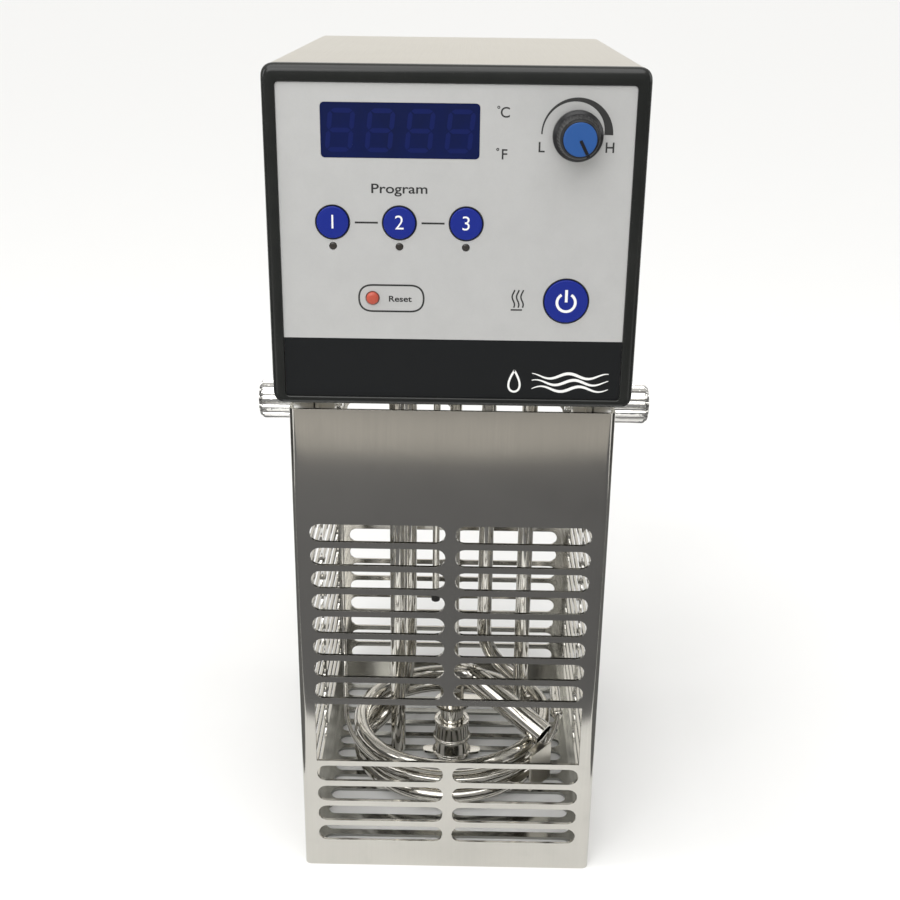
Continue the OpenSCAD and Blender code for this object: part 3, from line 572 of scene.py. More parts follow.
segment_blue = moulded("unlit segment", (0.006, 0.012, 0.085), 0.16,
                       size=0.6, depth=0.001, dust=0.03, light=(0.01, 0.02, 0.08),
                       Specular_IOR_Level=0.35)
# A darker copy of the brushed stainless, painted shade: it goes on the base plate's unlit underside and on
# the cage floor.
shaded_stainless = brushed("brushed stainless with painted shade", (0.33, 0.33, 0.31), 0.13, grain_axis=0)

slot_of = {part["node"]: part["material_slot"] for part in frame["record"]["subparts"]}
for node_name, node_object in frame["nodes"].items():
    # The base plate takes the darker stainless as painted shade on its unlit underside.
    node_finish = shaded_stainless if node_name == "base_plate" else finishes[slot_of[node_name]]
    node_object.data.materials.clear()
    node_object.data.materials.append(node_finish)
print(len(finishes), "finishes on", len(slot_of), "nodes")


def make(name, part, body, stands_for=(), finish=None, closed=True):
    """Adds a piece with the finish of the first CAD node's material slot, unless a finish is given."""
    slot = slot_of[stands_for[0]] if stands_for else None
    return add_piece(name, part, finish or finishes[slot], body, stands_for, closed)


# %% [markdown]
# The cage is bent from stainless sheet, laser cut with rows of slots. A boolean would cut
# them, but it leaves long thin triangles that shade badly. Here each slot is a cell: a
# ring of quads between the slot's outline and a rectangle, and the rectangles tile the
# sheet. Solidify then adds the steel's thickness, and Bevel breaks the cut edges, which
# is what gives the bright line round every slot.
# %% Slotted sheets
ACROSS, UP = 6, 8


def cell(u0, u1, v0, v1, centre, reach, half):
    """A ring of quads between a rectangle and a slot.

    Straights meet the long sides, and half circles meet the short ones.
    """
    across, up = np.linspace(0, 1, ACROSS + 1)[:-1], np.linspace(0, 1, UP + 1)[:-1]
    straight = reach - half

    def side(start, end, share):
        """Points at shares of the way from a start to an end."""
        return np.array(start) + share[:, None] * (np.array(end) - np.array(start))

    outer = np.concatenate([side((u0, v0), (u1, v0), across), side((u1, v0), (u1, v1), up),
                            side((u1, v1), (u0, v1), across), side((u0, v1), (u0, v0), up)])
    turn = np.pi * (up - 0.5)
    cap = np.stack([straight + half * np.cos(turn), half * np.sin(turn)], -1)
    inner = np.concatenate([side((-straight, -half), (straight, -half), across), cap,
                            side((straight, half), (-straight, half), across), -cap]) + np.array(centre)
    return skin(np.stack([outer, inner]))


def slot_table(first, pitch, rows):
    """Heights of the middles of the slot rows."""
    return [first + pitch * row for row in range(rows)]


def slotted_part(width, end, mullion, half, heights, pitch, base=0.0):
    """Two columns of slot cells from a base upwards, out to the sheet's side edges."""
    centre = (end + mullion / 2) / 2
    reach = (end - mullion / 2) / 2
    parts = []
    for index, middle_z in enumerate(heights):
        v0 = base if index == 0 else middle_z - pitch / 2
        v1 = middle_z + pitch / 2
        parts.append(cell(-width, 0, v0, v1, (-centre, middle_z), reach, half))
        parts.append(cell(0, width, v0, v1, (centre, middle_z), reach, half))
    return parts


def lip(width, v):
    """The points that the cells leave along their top edge, from left to right."""
    half_row = np.linspace(0, 1, ACROSS + 1)
    us = np.concatenate([-width + half_row * width, half_row[1:] * width])
    return np.stack([us, np.full(len(us), v)], -1)


def polygon(points):
    """One flat face from its corners, counter-clockwise."""
    return np.asarray(points, float), [list(range(len(points)))]


def beyond(edge, corners):
    """One flat face from an edge of many points and a few corners beyond it."""
    return polygon(np.concatenate([edge, corners]))


def stand(part, origin, u_axis, v_axis):
    """Puts a flat part in space: origin + u U + v V. Its faces look along U x V."""
    points, faces = part
    return (np.array(origin, float) + points[:, :1] * np.array(u_axis, float)
            + points[:, 1:] * np.array(v_axis, float), faces)


SLOT_HALF, PITCH, FIRST, BACK_FIRST = 3.5, 9.4, 15.5, 10.4
ROWS, MULLION, END, SIDE_END = 15, 3.6, 51.0, 64.0
FOLD, BEND = 6.0, 2.5
WINDOW_ROWS = (4, 5, 6)
WINDOW_LOW = FIRST + PITCH * (WINDOW_ROWS[0] - 0.5) + 1
WINDOW_HIGH = FIRST + PITCH * (WINDOW_ROWS[-1] + 0.5) - 1.4
UPRIGHT = (0, 0, 1)
print("slots are", 2 * SLOT_HALF, "mm high,", PITCH, "mm apart")

# %% [markdown]
# The front sheet has slots, one large window and a plain top, and it is bent back at both
# sides. The bend is a strip of its own: its rows stand at the heights that the cells'
# edges have, so that the two meet point for point and merge into one sheet.
# %% Cage front
flat = wall_x - BEND
all_rows = slot_table(FIRST, PITCH, ROWS)
low_rows, high_rows = all_rows[:WINDOW_ROWS[0]], all_rows[WINDOW_ROWS[-1] + 1:]
under = low_rows[-1] + PITCH / 2
over = high_rows[0] - PITCH / 2
blank = high_rows[-1] + PITCH / 2
parts = slotted_part(flat, END, MULLION, SLOT_HALF, low_rows, PITCH)
parts += slotted_part(flat, END, MULLION, SLOT_HALF, high_rows, PITCH, over)
parts.append(beyond(lip(flat, under), [(END, WINDOW_LOW), (-END, WINDOW_LOW)]))
parts.append(beyond(lip(flat, over)[::-1], [(-END, WINDOW_HIGH), (END, WINDOW_HIGH)]))
parts.append(polygon([(flat, under), (flat, over), (END, WINDOW_HIGH), (END, WINDOW_LOW)]))
parts.append(polygon([(-flat, over), (-flat, under), (-END, WINDOW_LOW), (-END, WINDOW_HIGH)]))
parts.append(beyond(lip(flat, blank), [(flat, cage_top), (-flat, cage_top)]))
front = stand(join(*parts), (0, front_y, 0), (1, 0, 0), UPRIGHT)
row_edges = [0.0] + [z + PITCH / 2 for z in low_rows] + [over] + [z + PITCH / 2 for z in high_rows]
cell_edges = [np.linspace(low, high, UP + 1) for low, high in zip(row_edges[:-1], row_edges[1:])]
heights = np.unique(np.round(np.concatenate(cell_edges + [[cage_top]]), 6))
marks = heights[(heights <= under + 0.001) | (heights >= over - 0.001)]
bend_turn = np.linspace(0, np.pi / 2, 7)
bend_arc = np.stack([flat + BEND * np.sin(bend_turn), front_y + BEND * (1 - np.cos(bend_turn))], -1)
bend_profile = np.concatenate([bend_arc, [(wall_x, front_y + FOLD)]])


def bend_strip(sign):
    """The folded edge: the bend's profile repeated at every mark of height."""
    outline = bend_profile * np.array([sign, 1])
    rows = np.concatenate([np.broadcast_to(outline[None], (len(marks), *outline.shape)),
                           np.broadcast_to(marks[:, None, None], (len(marks), len(outline), 1))], -1)
    points, faces = skin(rows, closed_round=False)
    return points, faces if sign > 0 else faces[:, ::-1]


folded_front = join(front, bend_strip(1), bend_strip(-1))
cage_front = make("cage_front_sheet", folded_front, "cage", ["cage_front"], closed=False)
fold_sheet(cage_front, sheet)
print("cage front:", len(cage_front.data.polygons), "faces before its thickness")

# %% [markdown]
# The sides, the back and the floor are flat. The side walls have an open notch at the top,
# where the clamp stud drops in, so their plain top is one many-sided face with a U in it.
# %% Cage sides, back and floor
side_lo, side_hi = span("cage_right")
stud_z = middle("clamp_washer_right")[2]
STUD_GAP = 3.4
side_shift = (side_lo[1] + side_hi[1]) / 2


def side_wall(sign):
    """A side wall in its own plane: slot cells, and a top with a notch for the stud."""
    width = (side_hi[1] - side_lo[1]) / 2
    cells = slotted_part(width, SIDE_END, MULLION, SLOT_HALF, all_rows, PITCH)
    top = all_rows[-1] + PITCH / 2
    around = np.linspace(0, -np.pi, 13)
    notch = np.stack([STUD_GAP * np.cos(around), stud_z + STUD_GAP * np.sin(around)], -1)
    notch[:, 0] -= side_shift * sign
    edge = [(width, cage_top), (STUD_GAP - side_shift * sign, cage_top)]
    rest = [(-STUD_GAP - side_shift * sign, cage_top), (-width, cage_top)]
    cells.append(polygon(np.concatenate([lip(width, top), edge, notch, rest])))
    return join(*cells)


for name, sign in (("left", -1), ("right", 1)):
    wall = stand(side_wall(sign), (sign * wall_x, side_shift, 0), (0, sign, 0), UPRIGHT)
    fold_sheet(make(f"cage_{name}_sheet", wall, "cage", [f"cage_{name}"], closed=False), sheet)
back_rows = slot_table(BACK_FIRST, PITCH, ROWS)
back_parts = slotted_part(wall_x, END, MULLION, SLOT_HALF, back_rows, PITCH)
back_top = back_rows[-1] + PITCH / 2
back_parts.append(beyond(lip(wall_x, back_top), [(wall_x, cage_top), (-wall_x, cage_top)]))
back = stand(join(*back_parts), (0, back_y, 0), (-1, 0, 0), UPRIGHT)
fold_sheet(make("cage_back_sheet", back, "cage", ["cage_back"], closed=False), sheet)

FLOOR_ROWS, FLOOR_PITCH = 13, 10.2
floor_lo, floor_hi = span("cage_floor")
floor_rows = [(row - (FLOOR_ROWS - 1) / 2) * FLOOR_PITCH for row in range(FLOOR_ROWS)]
floor_x, floor_y = floor_hi[0], floor_hi[1]
floor_parts = slotted_part(floor_x, END, MULLION, SLOT_HALF, floor_rows, FLOOR_PITCH, floor_lo[1])
floor_top = floor_rows[-1] + FLOOR_PITCH / 2
floor_parts.append(beyond(lip(floor_x, floor_top), [(floor_x, floor_y), (-floor_x, floor_y)]))
floor = stand(join(*floor_parts), (0, 0, 0), (1, 0, 0), (0, -1, 0))
# The cage floor takes the darker stainless as painted shade at the bottom of the cage.
fold_sheet(make("cage_floor_sheet", floor, "cage", ["cage_floor"], shaded_stainless, closed=False), sheet)
print("cage walls:", len(all_rows), "rows a side,", len(back_rows), "behind,", FLOOR_ROWS, "below")

# %% [markdown]
# The head's cover is one sheet bent over the top, so it is one outline carried from front
# to back: up a side, round a bend, across, and down. Its front edge hides in the bezel.
# %% Head cover
cover_lo, cover_hi = span("head_cover")
COVER_BEND = 3.0
side_x, cover_foot, cover_top = cover_hi[0], cover_lo[2], cover_hi[2]
cover_corners = [(side_x, cover_foot), (side_x, cover_top), (-side_x, cover_top), (-side_x, cover_foot)]
outline = rounded(cover_corners, COVER_BEND, 6)
depth_steps = np.array([cover_lo[1], cover_lo[1] + 4, (cover_lo[1] + cover_hi[1]) / 2, cover_hi[1]])
cover_rows = np.stack([np.broadcast_to(outline[None, :, 0], (len(depth_steps), len(outline))),
                       np.broadcast_to(depth_steps[:, None], (len(depth_steps), len(outline))),
                       np.broadcast_to(outline[None, :, 1], (len(depth_steps), len(outline)))], -1)
cover_points, cover_faces = skin(cover_rows, closed_round=False)
cover = make("head_cover_sheet", (cover_points, cover_faces[:, ::-1]), "head", ["head_cover"], closed=False)
fold_sheet(cover, sheet)
print("cover outline has", len(outline), "points")

# %% [markdown]
# The bezel is a moulded frame with a rounded front. Every level of it is a rectangle with
# round corners, and all levels have the same number of points, so they form one grid:
# back edge, side, the quarter round to the front, the flat face, and the inner edge.
# %% Front bezel
BEZEL_CORNER, OPENING_CORNER, ROUND, LIP = 4.0, 1.3, 2.6, 0.45
BACK_WALL, BACK_EDGE, CORNER_REACH = 1.2, 0.25, 1.15


def frame_level(half_w, z0, z1, corner_radius, y, steps=8):
    """A rectangle with round corners in X and Z at depth y: 4 x (steps + 1) points."""
    corners = [(half_w, z0), (half_w, z1), (-half_w, z1), (-half_w, z0)]
    flat_outline = rounded(corners, corner_radius * CORNER_REACH, steps, closed=True)
    return np.stack([flat_outline[:, 0], np.full(len(flat_outline), y), flat_outline[:, 1]], -1)


def bezel_levels():
    """Levels of the bezel from its back, round the outside to the front, and in to the opening."""
    half_w, z0, z1 = bezel_hi[0], bezel_lo[2], bezel_hi[2]
    y_back, y_front = span("head_cover")[0][1], bezel_lo[1]
    open_w, open_z0, open_z1 = film_hi[0] + 0.1, film_lo[2] - 0.1, film_hi[2] + 0.1
    turn = np.linspace(0, np.pi / 2, 7)
    insets = [(BACK_WALL, y_back), (BACK_EDGE, y_back), (0, y_back - BACK_EDGE)]
    insets += [(ROUND * (1 - math.cos(a)), y_front + ROUND * (1 - math.sin(a))) for a in turn]
    levels = [frame_level(half_w - i, z0 + i, z1 - i, max(BEZEL_CORNER - i, 0.8), y) for i, y in insets]
    inner_turn = np.linspace(0, np.pi / 2, 4)
    outsets = [(LIP * (1 - math.sin(a)), y_front + LIP * (1 - math.cos(a))) for a in inner_turn]
    outsets += [(0, film_y + 0.25), (BACK_WALL, film_y + 0.55)]
    levels += [frame_level(open_w + o, open_z0 - o, open_z1 + o, OPENING_CORNER + o, y) for o, y in outsets]
    levels.append(levels[0])
    return np.array(levels)


bezel = make("bezel_frame", skin(bezel_levels()), "head", ["front_bezel"])
print("bezel frame:", len(bezel.data.polygons), "faces")

# %% [markdown]
# Buttons, lamps and the dial are turned shapes: a profile of radius and height carried
# round an axis that points out of the panel. Rounded corners in the profile give the
# soft edge that catches light. Each button rides on its own body, and so does its print.
# %% Buttons
OUT = (0, -1, 0)
BUTTON_EDGE, DISH = 0.35, 0.04
FLANGE_BACK, FLANGE_FRONT, FLANGE_WIDTH, TOP_INSET = -4.4, -3.2, 1.1, 1.1
CAP_RADIUS = {"program_button_1": 5.2, "program_button_2": 5.2, "program_button_3": 5.2, "power_button": 7.2}


def button(node, body, name):
    """A push button's cap: a flange behind the panel, a straight side and a dished top."""
    lo, hi = span(node)
    face_y = lo[1]
    centre = (lo + hi) / 2
    radius = CAP_RADIUS[node]
    height = film_y - face_y
    flange = [(0, FLANGE_BACK), (radius + FLANGE_WIDTH, FLANGE_BACK), (radius + FLANGE_WIDTH, FLANGE_FRONT)]
    top = rounded([(radius, FLANGE_FRONT), (radius, height), (radius - TOP_INSET, height),
                   (0, height - DISH)], BUTTON_EDGE, 5)
    cap = turned(np.concatenate([flange, top]), (centre[0], film_y, centre[2]), OUT, 64)
    make(name, cap, body, [node])
    return centre, face_y


places = {}
for number in (1, 2, 3):
    places[number] = button(f"program_button_{number}", f"program_key_{number}", f"program_cap_{number}")
places["power"] = button("power_button", "power_key", "power_cap")
RESET_R, RESET_TOP_R, RESET_EDGE = 2.1, 1.2, 0.8
reset_at = middle("reset_button")
reset_height = film_y - span("reset_button")[0][1]
reset_side = rounded([(RESET_R, -5), (RESET_R, reset_height - 0.5), (RESET_TOP_R, reset_height),
                      (0, reset_height)], RESET_EDGE, 5)
reset_profile = np.concatenate([[(0, -6), (RESET_R, -6)], reset_side])
reset_cap = turned(reset_profile, (reset_at[0], film_y, reset_at[2]), OUT, 40)
make("reset_cap", reset_cap, "reset_key", ["reset_button"])
LENS_R, LENS_BACK = 1.22, -2.5
leds = middle("program_leds")
for number in (1, 2, 3):
    x = places[number][0][0]
    dome = rounded([(LENS_R, LENS_BACK), (LENS_R, -0.15), (0.9, 0.05), (0, 0.12)], 0.3, 4)
    lens = turned(np.concatenate([[(0, LENS_BACK)], dome]), (x, film_y, leds[2]), OUT, 24)
    add_piece(f"lamp_lens_{number}", lens, finishes["led_dark"], "head")
print("buttons at", [round(float(places[k][0][0]), 1) for k in places])

# %% [markdown]
# The dial is a knob for a potentiometer: a skirt, a waist, a grip with fine ribs, and a
# blue cap let into its end. The pointer is a dark bar that runs from the cap out over the
# rim. The ribs are a wave added to the radius, only over the grip's height.
# %% Dial
dial_lo, dial_hi = span("dial_knob")
dial_at = middle("dial_cap")
dial_r = (dial_hi[0] - dial_lo[0]) / 2
dial_y0 = dial_hi[1]
dial_top = span("dial_cap")[0][1]
height = dial_y0 - dial_top
RIBS, RIB_DEPTH = 36, 0.16
# The profile's point halfway round the curve at the grip's end.
GRIP_END = 23
CAP_R, CAP_BACK, CAP_FACE = dial_r - 2.78, -0.6, -0.08


def ribs(angle, at_height):
    """Grip ribs: a rounded wave of the angle, between the waist and the rim."""
    grip = (at_height > 4.3) & (at_height < height - 1.7)
    return -RIB_DEPTH * (0.5 + 0.5 * np.cos(RIBS * angle)) * grip


skirt = [(0, 0), (dial_r - 0.5, 0), (dial_r, 0.6), (dial_r, 2.7), (dial_r - 1.2, 3.9)]
knob_rim = [(dial_r - 1.75, height - 1.6), (dial_r - 2.5, height - 0.35), (dial_r - 2.75, height - 0.5)]
knob_outline = rounded(skirt + knob_rim + [(0, height - 0.5)], 0.45, 4)
knob_profile = refined(knob_outline, GRIP_END, 12)
dial_grip = turned(knob_profile, (dial_at[0], dial_y0, dial_at[2]), OUT, 216, ribs)
make("dial_grip", dial_grip, "dial", ["dial_knob"])
cap_edge = rounded([(CAP_R, CAP_BACK), (CAP_R, CAP_FACE), (dial_r - 3.4, CAP_FACE), (0, -0.1)], 0.25, 4)
cap_disc = turned(np.concatenate([[(0, CAP_BACK)], cap_edge]), (dial_at[0], dial_top, dial_at[2]), OUT, 72)
make("dial_cap_disc", cap_disc, "dial", ["dial_cap"])
print("dial radius", round(float(dial_r), 2), "height", round(float(height), 2))

# %% [markdown]
# The print on the film is ink: real, but only hundredths of a millimetre thick. A stroke
# is a flat bar carried along a line, with a width that may change on the way. It draws
# the scale's growing crescent, the power sign, the heat sign, and the display's segments.
# %% Strokes and lettering
INK = 0.03


def stroke(path, width, y, thickness=INK):
    """A flat bar along a line in X and Z: four edges, half a width to each side, closed ends."""
    path = np.asarray(path, float)
    along = unit(np.gradient(path, axis=0))
    square = np.stack([-along[:, 1], along[:, 0]], -1)
    across = square * np.broadcast_to(np.asarray(width, float), len(path))[:, None] / 2
    front = y - thickness
    edges = [(path + across, front), (path - across, front), (path - across, y), (path + across, y)]
    rows = np.stack([np.concatenate([side, np.full((len(side), 1), depth)], 1)[:, [0, 2, 1]]
                     for side, depth in edges], 1)
    first, last = rows[:1].mean(1, keepdims=True), rows[-1:].mean(1, keepdims=True)
    return skin(np.concatenate([np.repeat(first, 4, 1), rows, np.repeat(last, 4, 1)]))


def arc(centre, radius, start, stop, steps=40):
    """Points on a circle between two angles, in degrees from +X."""
    angle = np.radians(np.linspace(start, stop, steps))
    return np.stack([centre[0] + radius * np.cos(angle), centre[1] + radius * np.sin(angle)], -1)


def lettering(name, text, size, x, z, y, finish, body, bold=0.0, width=None):
    """Text as thin ink, centred on (x, z) of the panel and squeezed to a width if one is given."""
    curve = bpy.data.curves.new(name, "FONT")
    curve.body, curve.size, curve.extrude, curve.offset = text, size * MM, INK * MM / 2, bold * MM
    curve.align_x, curve.align_y, curve.resolution_u = "CENTER", "CENTER", 6
    holder = bpy.data.objects.new(name + "_outline", curve)
    bpy.context.scene.collection.objects.link(holder)
    bpy.context.view_layer.update()
    mesh = bpy.data.meshes.new_from_object(holder)
    natural = holder.dimensions.x / MM
    bpy.data.objects.remove(holder)
    squeeze = width / natural if width else 1.0
    upright = Matrix(((squeeze, 0, 0, x * MM), (0, 0, -1, (y - INK / 2) * MM),
                      (0, 1, 0, z * MM), (0, 0, 0, 1)))
    mesh.transform(upright)
    mesh.materials.clear()
    mesh.materials.append(finish)
    piece = bpy.data.objects.new(name, mesh)
    bpy.context.scene.collection.objects.link(piece)
    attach(piece, body)
    return piece


def below(depth):
    """A height given as the distance below the head's top."""
    return head_top - depth


print("ink is", INK, "mm thick")

# %% [markdown]
# The panel carries a scale that grows from a thin line to a thick one, two words, a few
# letters and signs, and a pill-shaped outline round the reset button. Heights are given
# as distances below the head's top, which is how a panel drawing gives them.
# %% Print on the panel
print_y = film_y
dial_x, dial_z = dial_at[0], dial_at[2]
SCALE_R, LETTER, DEGREE_R = 11.1, 4.6, 0.34
DASH_DEPTH, OUTLINE = 49.5, 0.6
PILL_TOP, PILL_FOOT, PILL_LEFT, PILL_RIGHT, PILL_CORNER = 70.2, 79.1, -31.4, -9.9, 4.62
FLAME_X, FLAME_GAP, FLAME_DEPTH, FLAME_H, FLAME_SWAY, FLAME_LINE = 19.9, 1.45, 77.2, 6.0, 0.42, 0.5
share = np.linspace(0, 1, 49)
growing = 0.45 + 2.4 * share ** 1.6
scale_line = SCALE_R + 0.3 - growing / 2
crescent = stroke(np.stack([dial_x - scale_line * np.cos(np.pi * share),
                            dial_z + scale_line * np.sin(np.pi * share)], -1), growing, print_y)
add_piece("scale_crescent", crescent, print_black, "head")
lettering("scale_low", "L", LETTER, dial_x - 11.2, below(24.9), print_y, print_black, "head", 0.05)
lettering("scale_high", "H", LETTER, dial_x + 10.6, below(24.8), print_y, print_black, "head", 0.05)
for letter, depth in (("C", 14.3), ("F", 27.3)):
    lettering(f"degree_{letter}", letter, LETTER, 15.6, below(depth), print_y, print_black, "head", 0.04)
    ring_path = arc((13.5, below(depth - 1.7)), DEGREE_R, 0, 360, 14)
    add_piece(f"degree_ring_{letter}", stroke(ring_path, 0.28, print_y), print_black, "head")
lettering("word_program", "Program", 4.3, -17.9, below(38.6), print_y, print_black, "head", 0.05, 18.1)
dashes = [stroke(line((left, below(DASH_DEPTH)), (right, below(DASH_DEPTH)), 3), OUTLINE, print_y)
          for left, right in ((-32.4, -24.9), (-10.7, -3.2))]
add_piece("button_dashes", join(*dashes), print_black, "head")
pill_corners = [(PILL_RIGHT, below(PILL_FOOT)), (PILL_RIGHT, below(PILL_TOP)),
                (PILL_LEFT, below(PILL_TOP)), (PILL_LEFT, below(PILL_FOOT))]
pill = rounded(pill_corners, PILL_CORNER, 10, closed=True)
add_piece("reset_outline", stroke(np.concatenate([pill, pill[:1]]), OUTLINE, print_y), print_black, "head")
lettering("word_reset", "Reset", 2.75, -17.8, below(74.9), print_y, print_black, "head", 0.06, 7.6)
rise = np.linspace(0, 1, 20)
sway = FLAME_SWAY * np.sin(2.2 * np.pi * rise + 0.5)
flame_z = below(FLAME_DEPTH) + FLAME_H * rise
flames = [stroke(np.stack([FLAME_X + FLAME_GAP * k + sway, flame_z], -1), FLAME_LINE, print_y)
          for k in range(3)]
flames.append(stroke(line((19.1, below(78.0)), (22.9, below(78.0)), 3), FLAME_LINE, print_y))
add_piece("heat_sign", join(*flames), print_black, "head")
print("scale, words and signs are printed")

# %% [markdown]
# Numerals and the power sign sit on the button caps and ride with them. The caps are
# dished by a few hundredths of a millimetre, so this print stands that much further in.
# The black band carries a plain drop and three waves, and a thin black ring round each round button is
# painted shade for the dark gap round its cap.
# %% Print on the buttons and the band
SEAT = DISH - 0.01
SIGN_LINE, SIGN_T = 0.9, 0.05
WAVE_X, WAVE_LENGTH, WAVE_H, WAVE_GAP = 27, 26, 0.9, 2.3
DROP_X, DROP_HALF_WIDTH, DROP_HALF_HEIGHT, DROP_LINE = 21, 2.6, 3.8, 0.7
for number in (1, 2, 3):
    centre, face_y = places[number]
    lettering(f"numeral_{number}", str(number), 6.6, centre[0], centre[2], face_y + SEAT, print_white,
              f"program_key_{number}", -0.03)
centre, face_y = places["power"]
sign_x, sign_z = centre[0], centre[2]
sign_ring = arc((sign_x, sign_z - 0.3), 3.05, 122, 418, 40)
sign_bar = line((sign_x, sign_z - 0.2), (sign_x, sign_z + 4.0), 3)
sign = [stroke(mark, SIGN_LINE, face_y + SEAT, SIGN_T) for mark in (sign_ring, sign_bar)]
add_piece("power_sign", join(*sign), print_white, "power_key")
band_z = film_lo[2]
crest = np.linspace(0, 1, 40)
swelling = 0.25 + 0.75 * np.sin(np.pi * crest)
emblem = []
for k in range(3):
    wave_z = band_z + 3.6 + WAVE_GAP * k + WAVE_H * np.sin(4 * np.pi * crest + 0.9 * k)
    emblem.append(stroke(np.stack([WAVE_X + WAVE_LENGTH * crest, wave_z], -1), swelling, print_y))
drop = np.linspace(-0.25, 2 * np.pi + 0.25, 49)
drop_x = DROP_X + DROP_HALF_WIDTH * np.sin(drop) * np.abs(np.sin(drop / 2)) ** 1.2
drop_z = band_z + 6.2 + DROP_HALF_HEIGHT * np.cos(drop)
emblem.append(stroke(np.stack([drop_x, drop_z], -1), DROP_LINE, print_y))
add_piece("wave_and_drop", join(*emblem), print_white, "head")
# A black ring round each round button is painted shade: it stands for the shadowed gap between the cap and
# the film.
gap_shade_rings = []
round_buttons = ((1, "program_button_1"), (2, "program_button_2"), (3, "program_button_3"),
                 ("power", "power_button"))
for key, node in round_buttons:
    centre = places[key][0]
    gap_shade_rings.append(stroke(arc((centre[0], centre[2]), CAP_RADIUS[node] + 0.4, 0, 360, 61), 0.3, print_y))
add_piece("button_gap_shade", join(*gap_shade_rings), print_black, "head")
print("buttons and band are printed")

# %% [markdown]
# The display is off, so its four digits are only faint bars, a hundredth of a millimetre
# thick, on the window. Each digit is seven bars with pointed ends, leaning a little. The
# dial's pointer is two bars: one over the blue cap and a thicker one over the knob's rim.
# %% Display digits
window_lo, window_hi = span("display_window")
DIGIT_PITCH, DIGIT_H, DIGIT_W, BAR_W, SLANT = 12.7, 13.6, 7.2, 1.45, 0.11
BAR_POINTS, BAR_GAP, BAR_TIP, BAR_T = 8, 0.25, 0.08, 0.012
window_mid = (window_lo + window_hi) / 2
segments = []
bars = (((-1, 1), (1, 1)), ((-1, 0), (1, 0)), ((-1, -1), (1, -1)), ((-1, 0), (-1, 1)),
        ((1, 0), (1, 1)), ((-1, -1), (-1, 0)), ((1, -1), (1, 0)))
from_end = np.minimum(np.arange(BAR_POINTS), np.arange(BAR_POINTS)[::-1])
taper = BAR_W * np.minimum(1, from_end + BAR_TIP)
for index in range(4):
    base_x = window_mid[0] + (index - 1.5) * DIGIT_PITCH
    for start, end in bars:
        a, b = (np.array(p, float) * (DIGIT_W / 2, DIGIT_H / 2 - BAR_W / 2) for p in (start, end))
        along_bar = unit(b - a)
        path = line(a + along_bar * BAR_GAP, b - along_bar * BAR_GAP, BAR_POINTS)
        path[:, 0] += SLANT * path[:, 1] + base_x
        path[:, 1] += window_mid[2]
        segments.append(stroke(path, taper, window_lo[1], BAR_T))
add_piece("display_segments", join(*segments), segment_blue, "head")
REST_TURN, POINTER_W = 27.8, 1.0
pointer_turn = math.radians(-90 + REST_TURN)
point = np.array([math.cos(pointer_turn), math.sin(pointer_turn)])
dial_centre = np.array([dial_x, dial_z])
cap_rim, knob_edge = dial_centre + (dial_r - 2.9) * point, dial_centre + (dial_r - 1.9) * point
knob_black = finishes["knob_black"]
cap_bar = stroke(line(dial_centre + 0.3 * point, cap_rim, 6), POINTER_W, dial_top + 0.12, 0.12)
add_piece("dial_pointer", cap_bar, knob_black, "dial")
rim_bar = stroke(line(cap_rim, knob_edge, 3), POINTER_W, dial_top + 1.0, 0.6)
add_piece("dial_pointer_rim", rim_bar, knob_black, "dial")
print(len(segments), "segments; at rest the pointer stands", REST_TURN, "degrees right of down")

# %% [markdown]
# The heater is one steel tube: down from the head at the back left, round the pump two and
# a half times, and up again. Its path is a curve, a helix and a curve, and a ring of
# points is carried along it, always turned away from the pump's axis so it never twists.
# %% Heater
RISER_A, RISER_B = (pump_x + 14, 18), (pump_x - 20, 20)
COIL_R, COIL_PITCH, COIL_TURNS = 41.0, 7.0, 2.5
heater_lo, heater_hi = span("heater_element")
heater_r = 3.25
coil_z = heater_lo[2] + heater_r


def coil(u):
    """The helix: angle 180 degrees plus a turn for each unit of u, rising by the pitch."""
    angle = np.pi + 2 * np.pi * u
    return np.stack([pump_x + COIL_R * np.cos(angle), COIL_R * np.sin(angle), coil_z + COIL_PITCH * u], -1)


def heater_path():
    """Riser, bend into the coil, helix, bend out, riser."""
    turns = coil(np.linspace(0, COIL_TURNS, 181))
    low, high = turns[0], turns[-1]
    b, a = np.array([*RISER_B, 52.0]), np.array([*RISER_A, 58.0])
    top = heater_hi[2]
    return np.concatenate([
        line((*RISER_B, top), b, 8)[:-1],
        bezier(b, b - [0, 0, 46], low + [2, 22, -1], low, 30)[:-1], turns[:-1],
        bezier(high, high + [1, 18, 3], a - [0, 0, 24], a, 30)[:-1], line(a, (*RISER_A, top), 8)])


def from_pump(path):
    """Directions from the pump's axis to each point, level with the ground."""
    away = np.array(path, float) - np.array([pump_x, 0, 0])
    away[:, 2] = 0
    return unit(away)


path = heater_path()
make("heater_tube", rod(path, heater_r, from_pump(path), 24), "head", ["heater_element"])
print("heater tube is", round(float(np.linalg.norm(np.diff(path, axis=0), axis=1).sum())), "mm long")

# %% [markdown]
# The overheat sensor is a thin capillary with a bulb. It comes down on the left, runs
# round the front of the coil and ends beside it. The same sweep makes it.
# %% Overheat sensor, probes and rods
SENSOR_AT, SENSOR_R, SENSOR_SWEEP = (-49, 18), COIL_R + 6.6, 80.0
SENSOR_LOW, SENSOR_HIGH = 21.5, 28.0


def sensor_arc(angle):
    """An arc round the coil's front whose height rises with the fourth power towards both ends."""
    turn, u = np.radians(angle), (angle - 270) / SENSOR_SWEEP
    return np.stack([pump_x + SENSOR_R * np.cos(turn), SENSOR_R * np.sin(turn),
                     SENSOR_LOW + (SENSOR_HIGH - SENSOR_LOW) * u ** 4], -1)


